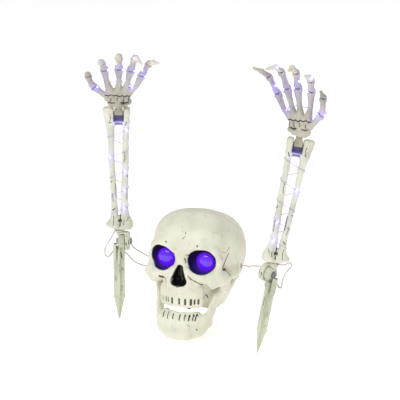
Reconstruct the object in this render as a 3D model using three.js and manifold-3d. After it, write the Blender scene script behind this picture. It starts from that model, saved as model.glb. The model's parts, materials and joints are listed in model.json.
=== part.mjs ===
import * as THREE from 'three';
import { mergeVertices } from 'three/addons/utils/BufferGeometryUtils.js';
import { LoftGeometry } from 'three/addons/geometries/LoftGeometry.js';
import Module from 'manifold-3d';

const wasm = await Module();
wasm.setup();

// ---- driving sizes, millimetres ----
const fitGap = 0.3;
const wall = 2.6;

// skull: x across, y towards the back, z up, origin at the middle of the cranium
const skullWidth = 128;
const skullDepth = 150;
const skullHeight = 120;
// widths and lengths the outlines below are drawn at
const drawnWidth = 128;
const drawnDepth = 150;
const drawnHeight = 120;
const drawnForearm = 181;
const skullAt = new THREE.Vector3(16.5, 48, 108);
const skullTurn = THREE.MathUtils.degToRad(-24);
const seamDepth = 18;
const eyeSpread = 30;
const lensRadius = 14;
const lensBack = -42;
const lensRise = 2;
const jawHingeSpread = 50;
const jawHingeBack = 2;
const jawHingeDrop = -22;
const jawPlate = 5;
const jawPinRadius = 2;
const toothCount = 10;
const upperArch = 29;
const lowerArch = 27;

// battery bay in the flat base of the skull, three cells side by side
const baseDrop = -73;
const cellLength = 44.5;
const cellRadius = 5.2;
const cellPitch = 10.9;
const bayMiddle = -5;
const bayHeight = 15;
const trayWall = 1.2;
const doorThick = 2;
const switchBack = -33;

// arms: x along the elbow bolt, negative on the outer side, z up from the elbow
const elbowHeight = 116;
const stakeWidth = 16;
const stakeFin = 2.6;
const stakePoint = 35;
const stakeDiscRadius = 10.4;
const linkDiscRadius = stakeDiscRadius + 2.6;
const bridgeLow = stakeDiscRadius + 0.8;
const bridgeHigh = bridgeLow + 2.6;
const boltRadius = 2.5;
const pegRadius = 4.5;
const forearmBase = bridgeHigh + 4.8;
const forearmLength = 181;
const socketDepth = 12;
const wristDrop = 9;
const wristBoltRadius = 1.6;
const wristPegRadius = 3;
const handSize = 1;
const handRise = 10.5;

// light strings and leads
const wireRadius = 0.4;
const beadRadius = 1.6;
const forearmTurns = 5;
const leadRadius = 0.8;
const leadStep = 4.8;

// bend and swivel turn the hand at the wrist; drift is how far the moulded hand leans to its
// little finger, as a share of its height
const arms = [
  {
    side: 'left', mirror: false, foot: new THREE.Vector3(-96.5, 77, 0), lean: 0, yaw: 0, twist: 0,
    bend: THREE.MathUtils.degToRad(20), swivel: THREE.MathUtils.degToRad(-5), drift: 0.03,
  },
  {
    side: 'right', mirror: true, foot: new THREE.Vector3(97.6, -77, 0), lean: THREE.MathUtils.degToRad(10.4),
    yaw: THREE.MathUtils.degToRad(-39), twist: THREE.MathUtils.degToRad(39),
    bend: 0, swivel: THREE.MathUtils.degToRad(-29), drift: 0.24,
  },
];

// ---- helpers ----
const kx = skullWidth / drawnWidth;
const ky = skullDepth / drawnDepth;
const kz = skullHeight / drawnHeight;
const right = new THREE.Vector3(1, 0, 0);
const back = new THREE.Vector3(0, 1, 0);
const up = new THREE.Vector3(0, 0, 1);
const vec = (x, y, z) => new THREE.Vector3(x, y, z);
const onSkull = (x, y, z) => vec(x * kx, y * ky, z * kz);

function toSolid(geometry) {
  const bare = new THREE.BufferGeometry();
  bare.setAttribute('position', geometry.attributes.position);
  bare.setIndex(geometry.index);
  const merged = mergeVertices(bare, 1e-4);
  const index = merged.index.array;
  const kept = [];
  for (let i = 0; i < index.length; i += 3) {
    const [a, b, c] = [index[i], index[i + 1], index[i + 2]];
    if (a !== b && b !== c && c !== a) kept.push(a, b, c);
  }
  return new wasm.Manifold(new wasm.Mesh({
    numProp: 3,
    vertProperties: new Float32Array(merged.attributes.position.array),
    triVerts: new Uint32Array(kept),
  }));
}

function toGeometry(solid) {
  const mesh = solid.getMesh();
  const geometry = new THREE.BufferGeometry();
  geometry.setAttribute('position', new THREE.BufferAttribute(new Float32Array(mesh.vertProperties), 3));
  geometry.setIndex(new THREE.BufferAttribute(new Uint32Array(mesh.triVerts), 1));
  return geometry;
}

const joined = (pieces) => pieces.map(toSolid).reduce((sum, piece) => sum.add(piece));

function ring(centre, u, v, ru, rv, sides, square = 1) {
  const points = [];
  for (let i = 0; i < sides; i += 1) {
    const angle = (i + 0.5) / sides * Math.PI * 2;
    const c = Math.cos(angle);
    const s = Math.sin(angle);
    const a = Math.sign(c) * Math.abs(c) ** square * ru;
    const b = Math.sign(s) * Math.abs(s) ** square * rv;
    points.push(centre.clone().addScaledVector(u, a).addScaledVector(v, b));
  }
  return points;
}

const loft = (sections) => new LoftGeometry(sections, { capStart: true, capEnd: true });

// level sections stacked up z: [z, x, y, half width, half depth]
const stack = (levels, sides, square = 1) => loft(
  levels.map(([z, x, y, rx, ry]) => ring(vec(x, y, z), right, back, rx, ry, sides, square)),
);

// upright sections stacked along y: [y, x, z, half width, half height]
const stackBack = (levels, sides, square = 1) => loft(
  levels.map(([y, x, z, rx, rz]) => ring(vec(x, y, z), up, right, rz, rx, sides, square)),
);

// oval sections along a bent line: [point, half width, half depth], depth measured along "face"
function limb(stations, sides, face) {
  const sections = stations.map(([point, wide, deep], i) => {
    const before = stations[Math.max(i - 1, 0)][0];
    const after = stations[Math.min(i + 1, stations.length - 1)][0];
    const along = after.clone().sub(before).normalize();
    const u = face.clone().cross(along).normalize();
    const v = along.clone().cross(u);
    return ring(point, u, v, wide, deep, sides);
  });
  return loft(sections);
}

const box = (x0, x1, y0, y1, z0, z1) => new THREE.BoxGeometry(x1 - x0, y1 - y0, z1 - z0)
  .translate((x0 + x1) / 2, (y0 + y1) / 2, (z0 + z1) / 2);
const rodZ = (x, y, z0, z1, radius, sides) => new THREE.CylinderGeometry(radius, radius, z1 - z0, sides)
  .rotateX(Math.PI / 2).translate(x, y, (z0 + z1) / 2);
const rodY = (x, y0, y1, z, radius, sides) => new THREE.CylinderGeometry(radius, radius, y1 - y0, sides)
  .translate(x, (y0 + y1) / 2, z);
const rodX = (x0, x1, y, z, radius, sides) => new THREE.CylinderGeometry(radius, radius, x1 - x0, sides)
  .rotateZ(Math.PI / 2).translate((x0 + x1) / 2, y, z);

// flat outline in the y-z plane, thickened along x
function plateX(outline, x0, x1) {
  const shape = new THREE.Shape(outline.map(([y, z]) => new THREE.Vector2(y, z)));
  const geometry = new THREE.ExtrudeGeometry(shape, { depth: x1 - x0, bevelEnabled: false });
  return geometry.applyMatrix4(new THREE.Matrix4().makeBasis(back, up, right)).translate(x0, 0, 0);
}

// flat outline in the x-z plane, thickened along y
function plateY(outline, y0, y1) {
  const shape = new THREE.Shape(outline.map(([x, z]) => new THREE.Vector2(x, z)));
  const geometry = new THREE.ExtrudeGeometry(shape, { depth: y1 - y0, bevelEnabled: false });
  return geometry.rotateX(Math.PI / 2).translate(0, y1, 0);
}

function tube(points, radius, sides, steps) {
  const path = new THREE.CatmullRomCurve3(points, false, 'centripetal');
  const circle = new THREE.Shape();
  for (let i = 0; i < sides; i += 1) {
    const angle = i / sides * Math.PI * 2;
    const at = [Math.cos(angle) * radius, Math.sin(angle) * radius];
    if (i === 0) circle.moveTo(...at);
    else circle.lineTo(...at);
  }
  circle.closePath();
  return new THREE.ExtrudeGeometry(circle, { steps, extrudePath: path, bevelEnabled: false });
}

function mirrored(geometry) {
  const flipped = geometry.clone();
  if (!flipped.index) {
    const count = flipped.attributes.position.count;
    flipped.setIndex([...Array(count).keys()]);
  }
  flipped.scale(-1, 1, 1);
  const index = flipped.index.array;
  for (let i = 0; i < index.length; i += 3) {
    [index[i + 1], index[i + 2]] = [index[i + 2], index[i + 1]];
  }
  return flipped;
}

function addPiece(group, name, geometry, color, roughness = 0.6, metalness = 0) {
  const material = new THREE.MeshStandardMaterial({ color, roughness, metalness });
  const mesh = new THREE.Mesh(geometry, material);
  mesh.name = name;
  group.add(mesh);
  return mesh;
}

const both = (build) => [-1, 1].map(build);
const bonePlastic = '#dddbc6';
const greyBone = '#b4ad9c';
const blackPlastic = '#262624';
const steel = '#b9bbbe';

const figure = new THREE.Group();
figure.name = 'halloween_skeleton_figure';

// ================= skull =================
const skull = new THREE.Group();
skull.name = 'skull';
skull.position.copy(skullAt);
skull.rotation.z = skullTurn;
figure.add(skull);

// round vault above, narrowing below to a flat base: z, middle y, half width, half depth
const vault = [
  [59.6, 0, 10, 12], [56, 0, 23, 27], [47, 0, 40, 47], [34, 0, 52.7, 61.8], [17, 0, 61.4, 72],
  [0, 0, 64, 75], [-18, 1, 62, 73], [-33, 5, 57, 67], [-46, 9, 49.5, 58], [-60, 3, 42, 48],
  [-73, -3, 36, 40],
].reverse();
const vaultLevels = (inset) => vault.map(([z, y, rx, ry], i) => {
  const inwards = i === 0 ? inset : (i === vault.length - 1 ? -inset : 0);
  return [z * kz + inwards, 0, y * ky, rx * kx - inset, ry * ky - inset];
});
const point = (x, y, z, wide, deep) => [onSkull(x, y, z), wide, deep];

const outerParts = [
  stack(vaultLevels(0), 22),
  stack([[-50, 31, 26, -50], [-36, 33, 26, -50], [-20, 37, 22, -52], [-6, 27, 13, -56]]
    .map(([z, rx, ry, y]) => [z * kz, 0, y * ky, rx * kx, ry * ky]), 18),
  limb([point(0, -68, 14, 5, 4), point(0, -73, 4, 4, 4), point(0, -77, -4, 3, 3)], 8, back),
];
const rearParts = [];
for (const s of [-1, 1]) {
  outerParts.push(limb([
    point(s * 26, -66, -30, 6, 10), point(s * 44, -60, -25, 6.5, 9), point(s * 56, -47, -23, 5, 7.5),
    point(s * 60, -28, -21, 3.6, 5.5), point(s * 60, -6, -20, 3, 4),
  ], 9, up));
  outerParts.push(limb([
    point(s * 3, -70, 20, 5, 5), point(s * 18, -69, 26, 5, 5), point(s * 34, -62, 26, 5, 5),
    point(s * 47, -51, 17, 5, 5), point(s * 51, -47, 4, 4.5, 4.5), point(s * 51, -50, -12, 5, 5),
    point(s * 48, -54, -24, 6, 6),
  ], 9, back));
  rearParts.push(limb([
    point(s * 44, 28, -38, 8, 8), point(s * 43, 27, -56, 7, 7), point(s * 41, 26, -68, 4, 4.5),
  ], 9, back));
}
const skullOuter = joined([...outerParts, ...rearParts]);
const skullHollow = joined([
  stack(vaultLevels(wall), 16),
  stack([[-45, 26, 20, -49], [-36, 28, 21, -49], [-20, 30, 16, -52]]
    .map(([z, rx, ry, y]) => [z * kz, 0, y * ky, rx * kx, ry * ky]), 14),
]);

const socketRim = onSkull(28.5, -66, 5.5);
const socketLevels = (grow) => [
  [socketRim.y - 8, socketRim.x, socketRim.z, 20 * kx + grow, 18.5 * kz + grow],
  [socketRim.y + 8, socketRim.x, socketRim.z, 18.5 * kx + grow, 17 * kz + grow],
  [lensBack * ky + (grow ? wall : 0), eyeSpread * kx, lensRise, lensRadius + 1 + grow, lensRadius + 1 + grow],
];
const nose = (grow) => [
  [0, -1 + grow], [4 + grow, -8], [8 + grow, -17], [12 + grow, -25], [9 + grow, -30 - grow],
  [3, -28 - grow], [0, -26 - grow], [-3, -28 - grow], [-9 - grow, -30 - grow], [-12 - grow, -25],
  [-8 - grow, -17], [-4 - grow, -8],
].map(([x, z]) => [x * kx, z * kz]);

const pocketTop = jawHingeDrop * kz + 12;
const pocket = (grow) => both((s) => {
  const middle = s * jawHingeSpread * kx;
  const half = jawPlate / 2 + 1.3 + grow;
  return box(middle - half, middle + half, -38 * ky - grow, seamDepth * ky - 1.6 - wall + grow,
    baseDrop * kz - 10, pocketTop + grow);
});
const baseZ = baseDrop * kz;
const trayHalfX = cellLength / 2 + 3.4;
const trayHalfY = cellPitch * 1.5 + 0.6;
const bayHalfX = trayHalfX + trayWall + fitGap;
const bayHalfY = trayHalfY + trayWall + fitGap;
const bayTop = baseZ + bayHeight;
const doorTab = bayHalfX + 4;
const lining = joined([
  stackBack(socketLevels(wall), 12),
  stackBack(socketLevels(wall).map(([y, x, z, rx, rz]) => [y, -x, z, rx, rz]), 12),
  plateY(nose(wall), -82 * ky, -52 * ky),
  ...pocket(wall),
  box(-bayHalfX - 1.6, bayHalfX + 1.6, bayMiddle - bayHalfY - 1.6, bayMiddle + bayHalfY + 1.6,
    baseZ, bayTop + 1.6),
  box(bayHalfX, bayHalfX + 9, bayMiddle - 6.5, bayMiddle + 6.5, baseZ, baseZ + 9),
]);

// screws that pull the back of the skull on: x, z, depth of the head
const shellScrews = [[50, 32, 24], [-50, 32, 24], [44, -40, 34], [-44, -40, 34]]
  .map(([x, z, y]) => ({ x: x * kx, z: z * kz, y: y * ky }));
const bosses = joined(shellScrews.map(({ x, y, z }) => rodY(x, (seamDepth - 14) * ky, y + 4, z, 4.6, 10)));
const leadExits = [
  { x: -44, y: 48, z: -27.2 }, { x: -44.2, y: 48, z: -29.8 }, { x: 44, y: 48, z: -28 },
].map(({ x, y, z }) => ({
  at: onSkull(x, y, z),
  out: vec(Math.sign(x) * 0.812, 0.583, 0),
}));
const alongLead = ({ at, out }, length) => at.clone().addScaledVector(out, length);

const tooth = (angle, arch, middle, z0, z1) => {
  const x = arch * Math.sin(angle) * kx;
  const y = (middle - arch * Math.cos(angle)) * ky;
  const spread = arch * Math.PI * 0.86 / toothCount / 2;
  return new THREE.CylinderGeometry(spread * 1.05, spread * 0.9, (z1 - z0) * kz, 6)
    .rotateX(Math.PI / 2)
    .scale(1, 0.8, 1)
    .rotateZ(-angle)
    .translate(x, y, (z0 + z1) / 2 * kz);
};
const toothAngles = [...Array(toothCount).keys()].map((i) => (i - (toothCount - 1) / 2) * 0.27);

const cuts = joined([
  stackBack(socketLevels(0), 12),
  stackBack(socketLevels(0).map(([y, x, z, rx, rz]) => [y, -x, z, rx, rz]), 12),
  ...both((s) => rodY(s * eyeSpread * kx, lensBack * ky - 1, lensBack * ky + 6, lensRise, 2.8, 10)),
  plateY(nose(0), -90 * ky, -55 * ky),
  ...pocket(0),
  rodX(-(jawHingeSpread + 14) * kx, (jawHingeSpread + 14) * kx, jawHingeBack * ky, jawHingeDrop * kz,
    jawPinRadius + fitGap, 10),
  box(-bayHalfX, bayHalfX, bayMiddle - bayHalfY, bayMiddle + bayHalfY, baseZ - 1, bayTop),
  box(0, bayHalfX + 8 + fitGap, bayMiddle - 5 - fitGap, bayMiddle + 5 + fitGap, baseZ - 1,
    baseZ + doorThick + fitGap),
  rodZ(doorTab, bayMiddle, baseZ - 1, baseZ + 8, 1.5, 8),
  box(-4.4, 4.4, switchBack - 1.9, switchBack + 1.9, baseZ - 1, baseZ + wall + 1),
  ...shellScrews.flatMap(({ x, y, z }) => [
    rodY(x, (seamDepth - 10) * ky, y + 1, z, 1.6, 8), rodY(x, y, y + 30, z, 3.4, 10),
  ]),
  ...leadExits.map((exit) => tube([alongLead(exit, -8), alongLead(exit, 8)], leadRadius + fitGap, 8, 1)),
]);
const shellWithTeeth = skullOuter.subtract(skullHollow)
  .add(lining.add(bosses).intersect(skullOuter))
  .subtract(cuts)
  .add(joined(toothAngles.map((angle) => tooth(angle, upperArch, -46, -59, -44))));
const seam = seamDepth * ky;
const frontHalf = toSolid(box(-200, 200, -300, seam - fitGap / 2, -300, 300));
const backHalf = toSolid(box(-200, 200, seam + fitGap / 2, 300, -300, 300));
addPiece(skull, 'skull_front_shell', toGeometry(shellWithTeeth.intersect(frontHalf)), bonePlastic, 0.55);
addPiece(skull, 'skull_rear_shell', toGeometry(shellWithTeeth.intersect(backHalf)), bonePlastic, 0.55);

// jaw: two upright plates on pins joined by a curved body with teeth
const jawMiddle = (s) => s * jawHingeSpread * kx;
const jawSide = (s) => plateX([
  [7.5, -22], [6, -16.5], [2, -14.6], [-3, -16.5], [-8, -27], [-14, -27], [-21, -17], [-26, -24],
  [-28, -52], [-30, -74], [-18, -88], [-4, -82], [1, -66], [4, -44],
].map(([y, z]) => [y * ky, z * kz]), jawMiddle(s) - jawPlate / 2, jawMiddle(s) + jawPlate / 2);
const jawRun = [
  [46.5, -16, -72, 4.5, 12], [43, -34, -79, 4.8, 13], [36, -52, -85, 5.2, 14], [24, -66, -89, 5.6, 15.5],
  [9, -72.5, -91, 6, 16.5],
];
const jawStations = [
  ...jawRun.map(([x, y, z, thick, tall]) => point(-x, y, z, thick, tall)),
  ...jawRun.slice().reverse().map(([x, y, z, thick, tall]) => point(x, y, z, thick, tall)),
];
const jaw = joined([
  limb(jawStations, 10, up),
  jawSide(-1),
  jawSide(1),
  ...toothAngles.map((angle) => tooth(angle, lowerArch, -44, -82, -70)),
]).subtract(toSolid(rodX(-(jawHingeSpread + 14) * kx, (jawHingeSpread + 14) * kx, jawHingeBack * ky,
  jawHingeDrop * kz, jawPinRadius + fitGap, 10)));
addPiece(skull, 'jaw', toGeometry(jaw), bonePlastic, 0.55);
const pinReach = jawPlate / 2 + 4;
for (const s of [-1, 1]) {
  const side = s < 0 ? 'left' : 'right';
  const middle = jawMiddle(s);
  addPiece(skull, `jaw_pin_${side}`, rodX(middle - pinReach, middle + pinReach, jawHingeBack * ky,
    jawHingeDrop * kz, jawPinRadius, 10), steel, 0.35, 0.9);
}

// eyes: a domed clear lens with a lamp behind it
for (const s of [-1, 1]) {
  const side = s < 0 ? 'left' : 'right';
  const dome = new THREE.LatheGeometry([
    [0, 0], [1, 0], [1, 0.09], [0.86, 0.22], [0.6, 0.32], [0.3, 0.36], [0, 0.37],
  ].map(([r, h]) => new THREE.Vector2(r * lensRadius, h * lensRadius)), 18);
  dome.rotateX(Math.PI).translate(s * eyeSpread * kx, lensBack * ky - fitGap, lensRise);
  addPiece(skull, `eye_lens_${side}`, toGeometry(toSolid(dome)), '#5a18d8', 0.15);
  const lamp = joined([
    rodY(s * eyeSpread * kx, lensBack * ky + 0.4, lensBack * ky + 7, lensRise, 2.45, 10),
    rodY(s * eyeSpread * kx, lensBack * ky + wall + fitGap, lensBack * ky + wall + 1.4, lensRise, 2.95, 10),
  ]);
  addPiece(skull, `eye_lamp_${side}`, toGeometry(lamp), '#8b6cff', 0.2);
}

// battery tray, cells, contacts, door, screw, switch and timer board
const trayTop = bayTop - fitGap;
const trayBottom = baseZ + doorThick + 0.6;
const tray = toSolid(box(-trayHalfX - trayWall, trayHalfX + trayWall, bayMiddle - trayHalfY - trayWall,
  bayMiddle + trayHalfY + trayWall, trayBottom, trayTop))
  .subtract(toSolid(box(-trayHalfX, trayHalfX, bayMiddle - trayHalfY, bayMiddle + trayHalfY,
    trayBottom - 1, trayTop - trayWall)));
addPiece(skull, 'battery_tray', toGeometry(tray), blackPlastic, 0.5);
const cellZ = trayTop - trayWall - fitGap - cellRadius;
for (let i = 0; i < 3; i += 1) {
  const y = bayMiddle + (i - 1) * cellPitch;
  const turned = i % 2 ? -1 : 1;
  const cell = joined([
    rodX(-cellLength / 2, cellLength / 2 - 0.8, 0, 0, cellRadius, 14),
    rodX(cellLength / 2 - 2, cellLength / 2, 0, 0, 1.9, 10),
  ]);
  const shape = toGeometry(cell);
  if (turned < 0) shape.rotateZ(Math.PI);
  addPiece(skull, `battery_${i + 1}`, shape.translate(0, y, cellZ), '#3c5f3f', 0.35, 0.4);
}
for (const s of [-1, 1]) {
  const inner = s * (cellLength / 2 + fitGap);
  const outer = s * (trayHalfX - fitGap);
  const plate = [box(Math.min(outer, outer - s * 0.6), Math.max(outer, outer - s * 0.6),
    bayMiddle - trayHalfY + fitGap, bayMiddle + trayHalfY - fitGap, cellZ - 4, cellZ + 4)];
  for (let i = 0; i < 3; i += 1) {
    const y = bayMiddle + (i - 1) * cellPitch;
    plate.push(rodX(Math.min(inner, outer), Math.max(inner, outer), y, cellZ, 1.7, 8));
  }
  addPiece(skull, `battery_contact_${s < 0 ? 'left' : 'right'}`, toGeometry(joined(plate)), steel, 0.3, 1);
}
const door = joined([
  box(-bayHalfX + fitGap, bayHalfX - fitGap, bayMiddle - bayHalfY + fitGap, bayMiddle + bayHalfY - fitGap,
    baseZ, baseZ + doorThick),
  box(0, bayHalfX + 8, bayMiddle - 5, bayMiddle + 5, baseZ, baseZ + doorThick),
]).subtract(toSolid(rodZ(doorTab, bayMiddle, baseZ - 1, baseZ + doorThick + 1, 1.7, 8)));
addPiece(skull, 'battery_door', toGeometry(door), bonePlastic, 0.6);
const doorScrew = joined([
  rodZ(doorTab, bayMiddle, baseZ - fitGap - 1.6, baseZ - fitGap, 2.8, 12),
  rodZ(doorTab, bayMiddle, baseZ - fitGap - 1, baseZ + 7, 1.2, 8),
]).subtract(joined([
  box(doorTab - 1.8, doorTab + 1.8, bayMiddle - 0.3, bayMiddle + 0.3, baseZ - 3, baseZ - fitGap - 0.8),
  box(doorTab - 0.3, doorTab + 0.3, bayMiddle - 1.8, bayMiddle + 1.8, baseZ - 3, baseZ - fitGap - 0.8),
]));
addPiece(skull, 'door_screw', toGeometry(doorScrew), steel, 0.35, 1);
const switchBase = baseZ + wall + fitGap;
const switchBody = toSolid(box(-6.5, 6.5, switchBack - 3.4, switchBack + 3.4, switchBase, switchBase + 5))
  .subtract(toSolid(box(-4.4, 4.4, switchBack - 1.8, switchBack + 1.8, switchBase - 1, switchBase + 2.6)));
addPiece(skull, 'switch_body', toGeometry(switchBody), blackPlastic, 0.4);
addPiece(skull, 'switch_knob', box(-2, 2, switchBack - 1.4, switchBack + 1.4, baseZ - 2, switchBase + 2),
  blackPlastic, 0.4);
addPiece(skull, 'timer_board', box(-16, 16, bayMiddle - 11, bayMiddle + 11, bayTop + 1.6 + fitGap,
  bayTop + 3 + fitGap), '#2f5a36', 0.5);
shellScrews.forEach(({ x, y, z }, i) => {
  const screw = joined([
    rodY(x, y + 1 + fitGap, y + 3 + fitGap, z, 2.9, 12), rodY(x, (seamDepth - 9) * ky, y + 2, z, 1.3, 8),
  ]).subtract(joined([
    box(x - 1.8, x + 1.8, y + 2, y + 5, z - 0.3, z + 0.3),
    box(x - 0.3, x + 0.3, y + 2, y + 5, z - 1.8, z + 1.8),
  ]));
  addPiece(skull, `shell_screw_${i + 1}`, toGeometry(screw), steel, 0.35, 1);
});

// ================= arms =================
const kf = forearmLength / drawnForearm;

// stake: crossed fins running to a point, with a hub disc and one raised wing on the outer side
function stakeShape() {
  const half = stakeWidth / 2;
  const middle = -1;
  const tip = -elbowHeight;
  const top = -stakeDiscRadius + 3;
  const fin = [[-half, top], [-half, tip + stakePoint], [-1.3, tip + 4], [0, tip], [1.3, tip + 4],
    [half, tip + stakePoint], [half, top]];
  const wing = [[-half, top - 20], [-half, 1], [-half + 3, 3], [-half + 3.6, top - 20]];
  return joined([
    plateY(fin.map(([x, z]) => [x + middle, z]).reverse(), -stakeFin / 2, stakeFin / 2),
    plateX(fin, middle - stakeFin / 2, middle + stakeFin / 2),
    plateY(wing.map(([x, z]) => [x + middle, z]).reverse(), -4, 4),
    rodX(-1.5, 7, 0, 0, stakeDiscRadius, 22),
    box(-1.5, 7, -5, 5, top - 8, 0),
  ]).subtract(toSolid(rodX(-20, 20, 0, 0, boltRadius + fitGap, 12)));
}

function linkShape() {
  const disc = rodX(7.5, 15, 0, 0, linkDiscRadius, 22);
  const bridge = plateY([
    [-pegRadius - 0.1, bridgeLow], [7.6, bridgeLow], [7.6, 6], [15, 6], [15, bridgeLow - 0.2],
    [12, bridgeHigh], [-pegRadius - 0.1, bridgeHigh],
  ], -pegRadius - 0.1, pegRadius + 0.1);
  const peg = rodZ(0, 0, bridgeHigh - 0.8, forearmBase + socketDepth - 1, pegRadius, 14);
  return joined([disc, bridge, peg]).subtract(toSolid(rodX(-20, 20, 0, 0, boltRadius + fitGap, 12)));
}

function boltShape() {
  return joined([
    rodX(-4.8, -1.5 - fitGap, 0, 0, 4.6, 12), rodX(-3, 18, 0, 0, boltRadius, 12),
  ]).subtract(joined([box(-6, -3.8, -3, 3, -0.4, 0.4), box(-6, -3.8, -0.4, 0.4, -3, 3)]));
}

const nutShape = () => toSolid(rodX(15 + fitGap, 17.6, 0, 0, 5, 6))
  .subtract(toSolid(rodX(10, 20, 0, 0, boltRadius + fitGap, 12)));

// forearm: the two bones side by side, joined at both ends, heights measured from its lower lip
function forearmShape() {
  const at = (z, x, rx, ry) => [forearmBase + z * kf, x, 0, rx, ry];
  const radius = stack([
    at(0, -8, 8, 8), at(5, -8.5, 8.6, 8), at(14, -7.4, 6, 6.5), at(28, -6.6, 4.8, 5), at(60, -8.2, 4.4, 4.6),
    at(100, -10.6, 4.5, 4.6), at(135, -11.2, 4.9, 4.8), at(158, -12, 6.4, 5.6), at(170, -13.2, 6, 6.6),
    at(181, -13.6, 4.6, 5),
  ], 10);
  const ulna = stack([
    at(0, 8, 8.6, 9), at(6, 9, 9.6, 9.5), at(16, 8, 7.4, 7.6), at(30, 7, 5.6, 5.6), at(60, 7.6, 5.2, 4.8),
    at(100, 9, 5, 4.6), at(135, 9.4, 4.8, 4.6), at(158, 10.4, 4.8, 5), at(170, 10.8, 4.2, 5.8),
    at(180, 11, 3.2, 4.4),
  ], 10);
  const neck = stack([at(0, 0, 9, 7.6), at(8, 0, 8.6, 7), at(14, 0, 5, 5)], 10);
  const bridge = box(-12, 10, -3.4, 3.4, forearmBase + 153 * kf, forearmBase + 159 * kf);
  const wristZ = forearmBase + forearmLength - wristDrop;
  return joined([radius, ulna, neck, bridge]).subtract(joined([
    rodZ(0, 0, forearmBase - 1, forearmBase + socketDepth, pegRadius + fitGap, 14),
    rodX(-30, 30, 0, wristZ, wristBoltRadius + fitGap, 10),
    rodX(-30, -17.5, 0, wristZ, 3.2, 10),
    box(-6.9, 6.2, -12, 12, forearmBase + 159 * kf, forearmBase + forearmLength + 5),
  ]));
}

const wristBoltShape = () => joined([
  rodX(-19.6, -17.8, 0, 0, 2.8, 12), rodX(-18.5, 13, 0, 0, wristBoltRadius, 10),
]).subtract(toSolid(box(-20, -19, -2, 2, -0.35, 0.35)));

// tongue on the wrist bolt with a round collar and the peg the hand turns on
const tabShape = () => joined([
  rodX(-6, 5.4, 0, 0, 5, 14), box(-4.4, 4.4, -3.6, 3.6, 0, handRise - 1),
  rodZ(0, 0, 3, handRise, 4.6, 12), rodZ(0, 0, 3, handRise + 9, wristPegRadius, 12),
]).subtract(toSolid(rodX(-20, 20, 0, 0, wristBoltRadius + fitGap, 10)));

// hand: x to the little finger, y away from the palm, z up; [x, up, towards the palm, radius]
const fingers = [
  [[-8, 9, 0, 5.5], [-27, 22, 2, 3.6], [-42, 35, 4, 5], [-47.5, 48, 8, 3.2], [-50, 61, 12, 4], [-52, 71, 20, 2.6]],
  [[-12, 14, 0, 5], [-20, 38, 1, 3.4], [-27, 57, 4, 5], [-29.5, 68, 6, 3], [-31.5, 78, 9, 4],
    [-34.5, 86, 20, 3.4], [-33, 93, 30, 2.6]],
  [[-1, 14, 0, 5], [0, 40, 1, 3.4], [0, 60, 4, 5.2], [0, 75, 6, 3.1], [0, 89.7, 8, 4.2], [0, 100, 20, 3.5],
    [0, 97, 32, 2.6]],
  [[8, 14, 0, 5], [13, 37, 1, 3.2], [16, 56, 4, 4.9], [18, 70, 6, 3], [19.7, 84, 9, 4], [24, 92, 20, 3.3],
    [33, 95, 31, 2.5]],
  [[14, 12, 0, 5], [22, 33, 1, 3], [29.8, 51, 3, 4.5], [34, 63, 5, 2.8], [38, 75, 8, 3.7], [44, 83, 18, 3.1],
    [51, 91, 28, 2.4]],
];
const handPoint = (x, rise, palm, drift) => vec(
  (x + rise * drift) * handSize, -palm * handSize, handRise + rise * handSize,
);

function handShape(drift) {
  const carpals = stack([
    [0, 0, 10, 7], [4, 0, 15, 7.4], [11, 0, 20, 7.2], [19, -0.5, 20, 6], [26, -0.5, 15, 4],
  ].map(([z, x, rx, ry]) => [
    handRise + fitGap + z * handSize, (x + z * drift) * handSize, 0, rx * handSize, ry * handSize,
  ]), 14);
  const bones = fingers.map((finger) => limb(finger.map(([x, rise, palm, radius]) => [
    handPoint(x, rise, palm, drift), radius * handSize, radius * handSize,
  ]), 8, back));
  return joined([carpals, ...bones])
    .subtract(toSolid(rodZ(0, 0, handRise - 4, handRise + 9.6, wristPegRadius + fitGap, 12)));
}

function beaded(points, steps, beads) {
  const path = new THREE.CatmullRomCurve3(points, false, 'centripetal');
  const drops = beads.map((share) => {
    const at = path.getPointAt(share);
    return new THREE.OctahedronGeometry(beadRadius * 1.2).scale(1, 1, 1.25).translate(at.x, at.y, at.z);
  });
  return joined([tube(points, wireRadius, 4, steps), ...drops]);
}

// light string round the forearm, kept clear of the bones
function forearmString() {
  const points = [];
  const low = forearmBase + 20 * kf;
  const high = forearmBase + 150 * kf;
  const count = forearmTurns * 12;
  for (let i = 0; i <= count; i += 1) {
    const angle = i / 12 * Math.PI * 2;
    const c = Math.cos(angle);
    const s = Math.sin(angle);
    points.push(vec(-1.2 + Math.sign(c) * Math.abs(c) ** 0.6 * 18.6, Math.sign(s) * Math.abs(s) ** 0.6 * 8.4,
      low + (high - low) * i / count));
  }
  return beaded(points, count, [0.02, 0.15, 0.29, 0.43, 0.57, 0.71, 0.85, 0.98]);
}

// light string up and down the backs of the fingers
function handString(drift) {
  const points = [handPoint(-4, 6, -9.4, drift)];
  fingers.forEach((finger) => {
    const knuckle = finger[2];
    const middle = finger[finger.length - 3];
    points.push(handPoint(knuckle[0], knuckle[1], knuckle[2] - knuckle[3] - 2.6, drift));
    points.push(handPoint(middle[0], middle[1], middle[2] - middle[3] - 2.2, drift));
  });
  return beaded(points, 44, [0.03, 0.2, 0.34, 0.47, 0.6, 0.74, 0.86, 0.99]);
}

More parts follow.
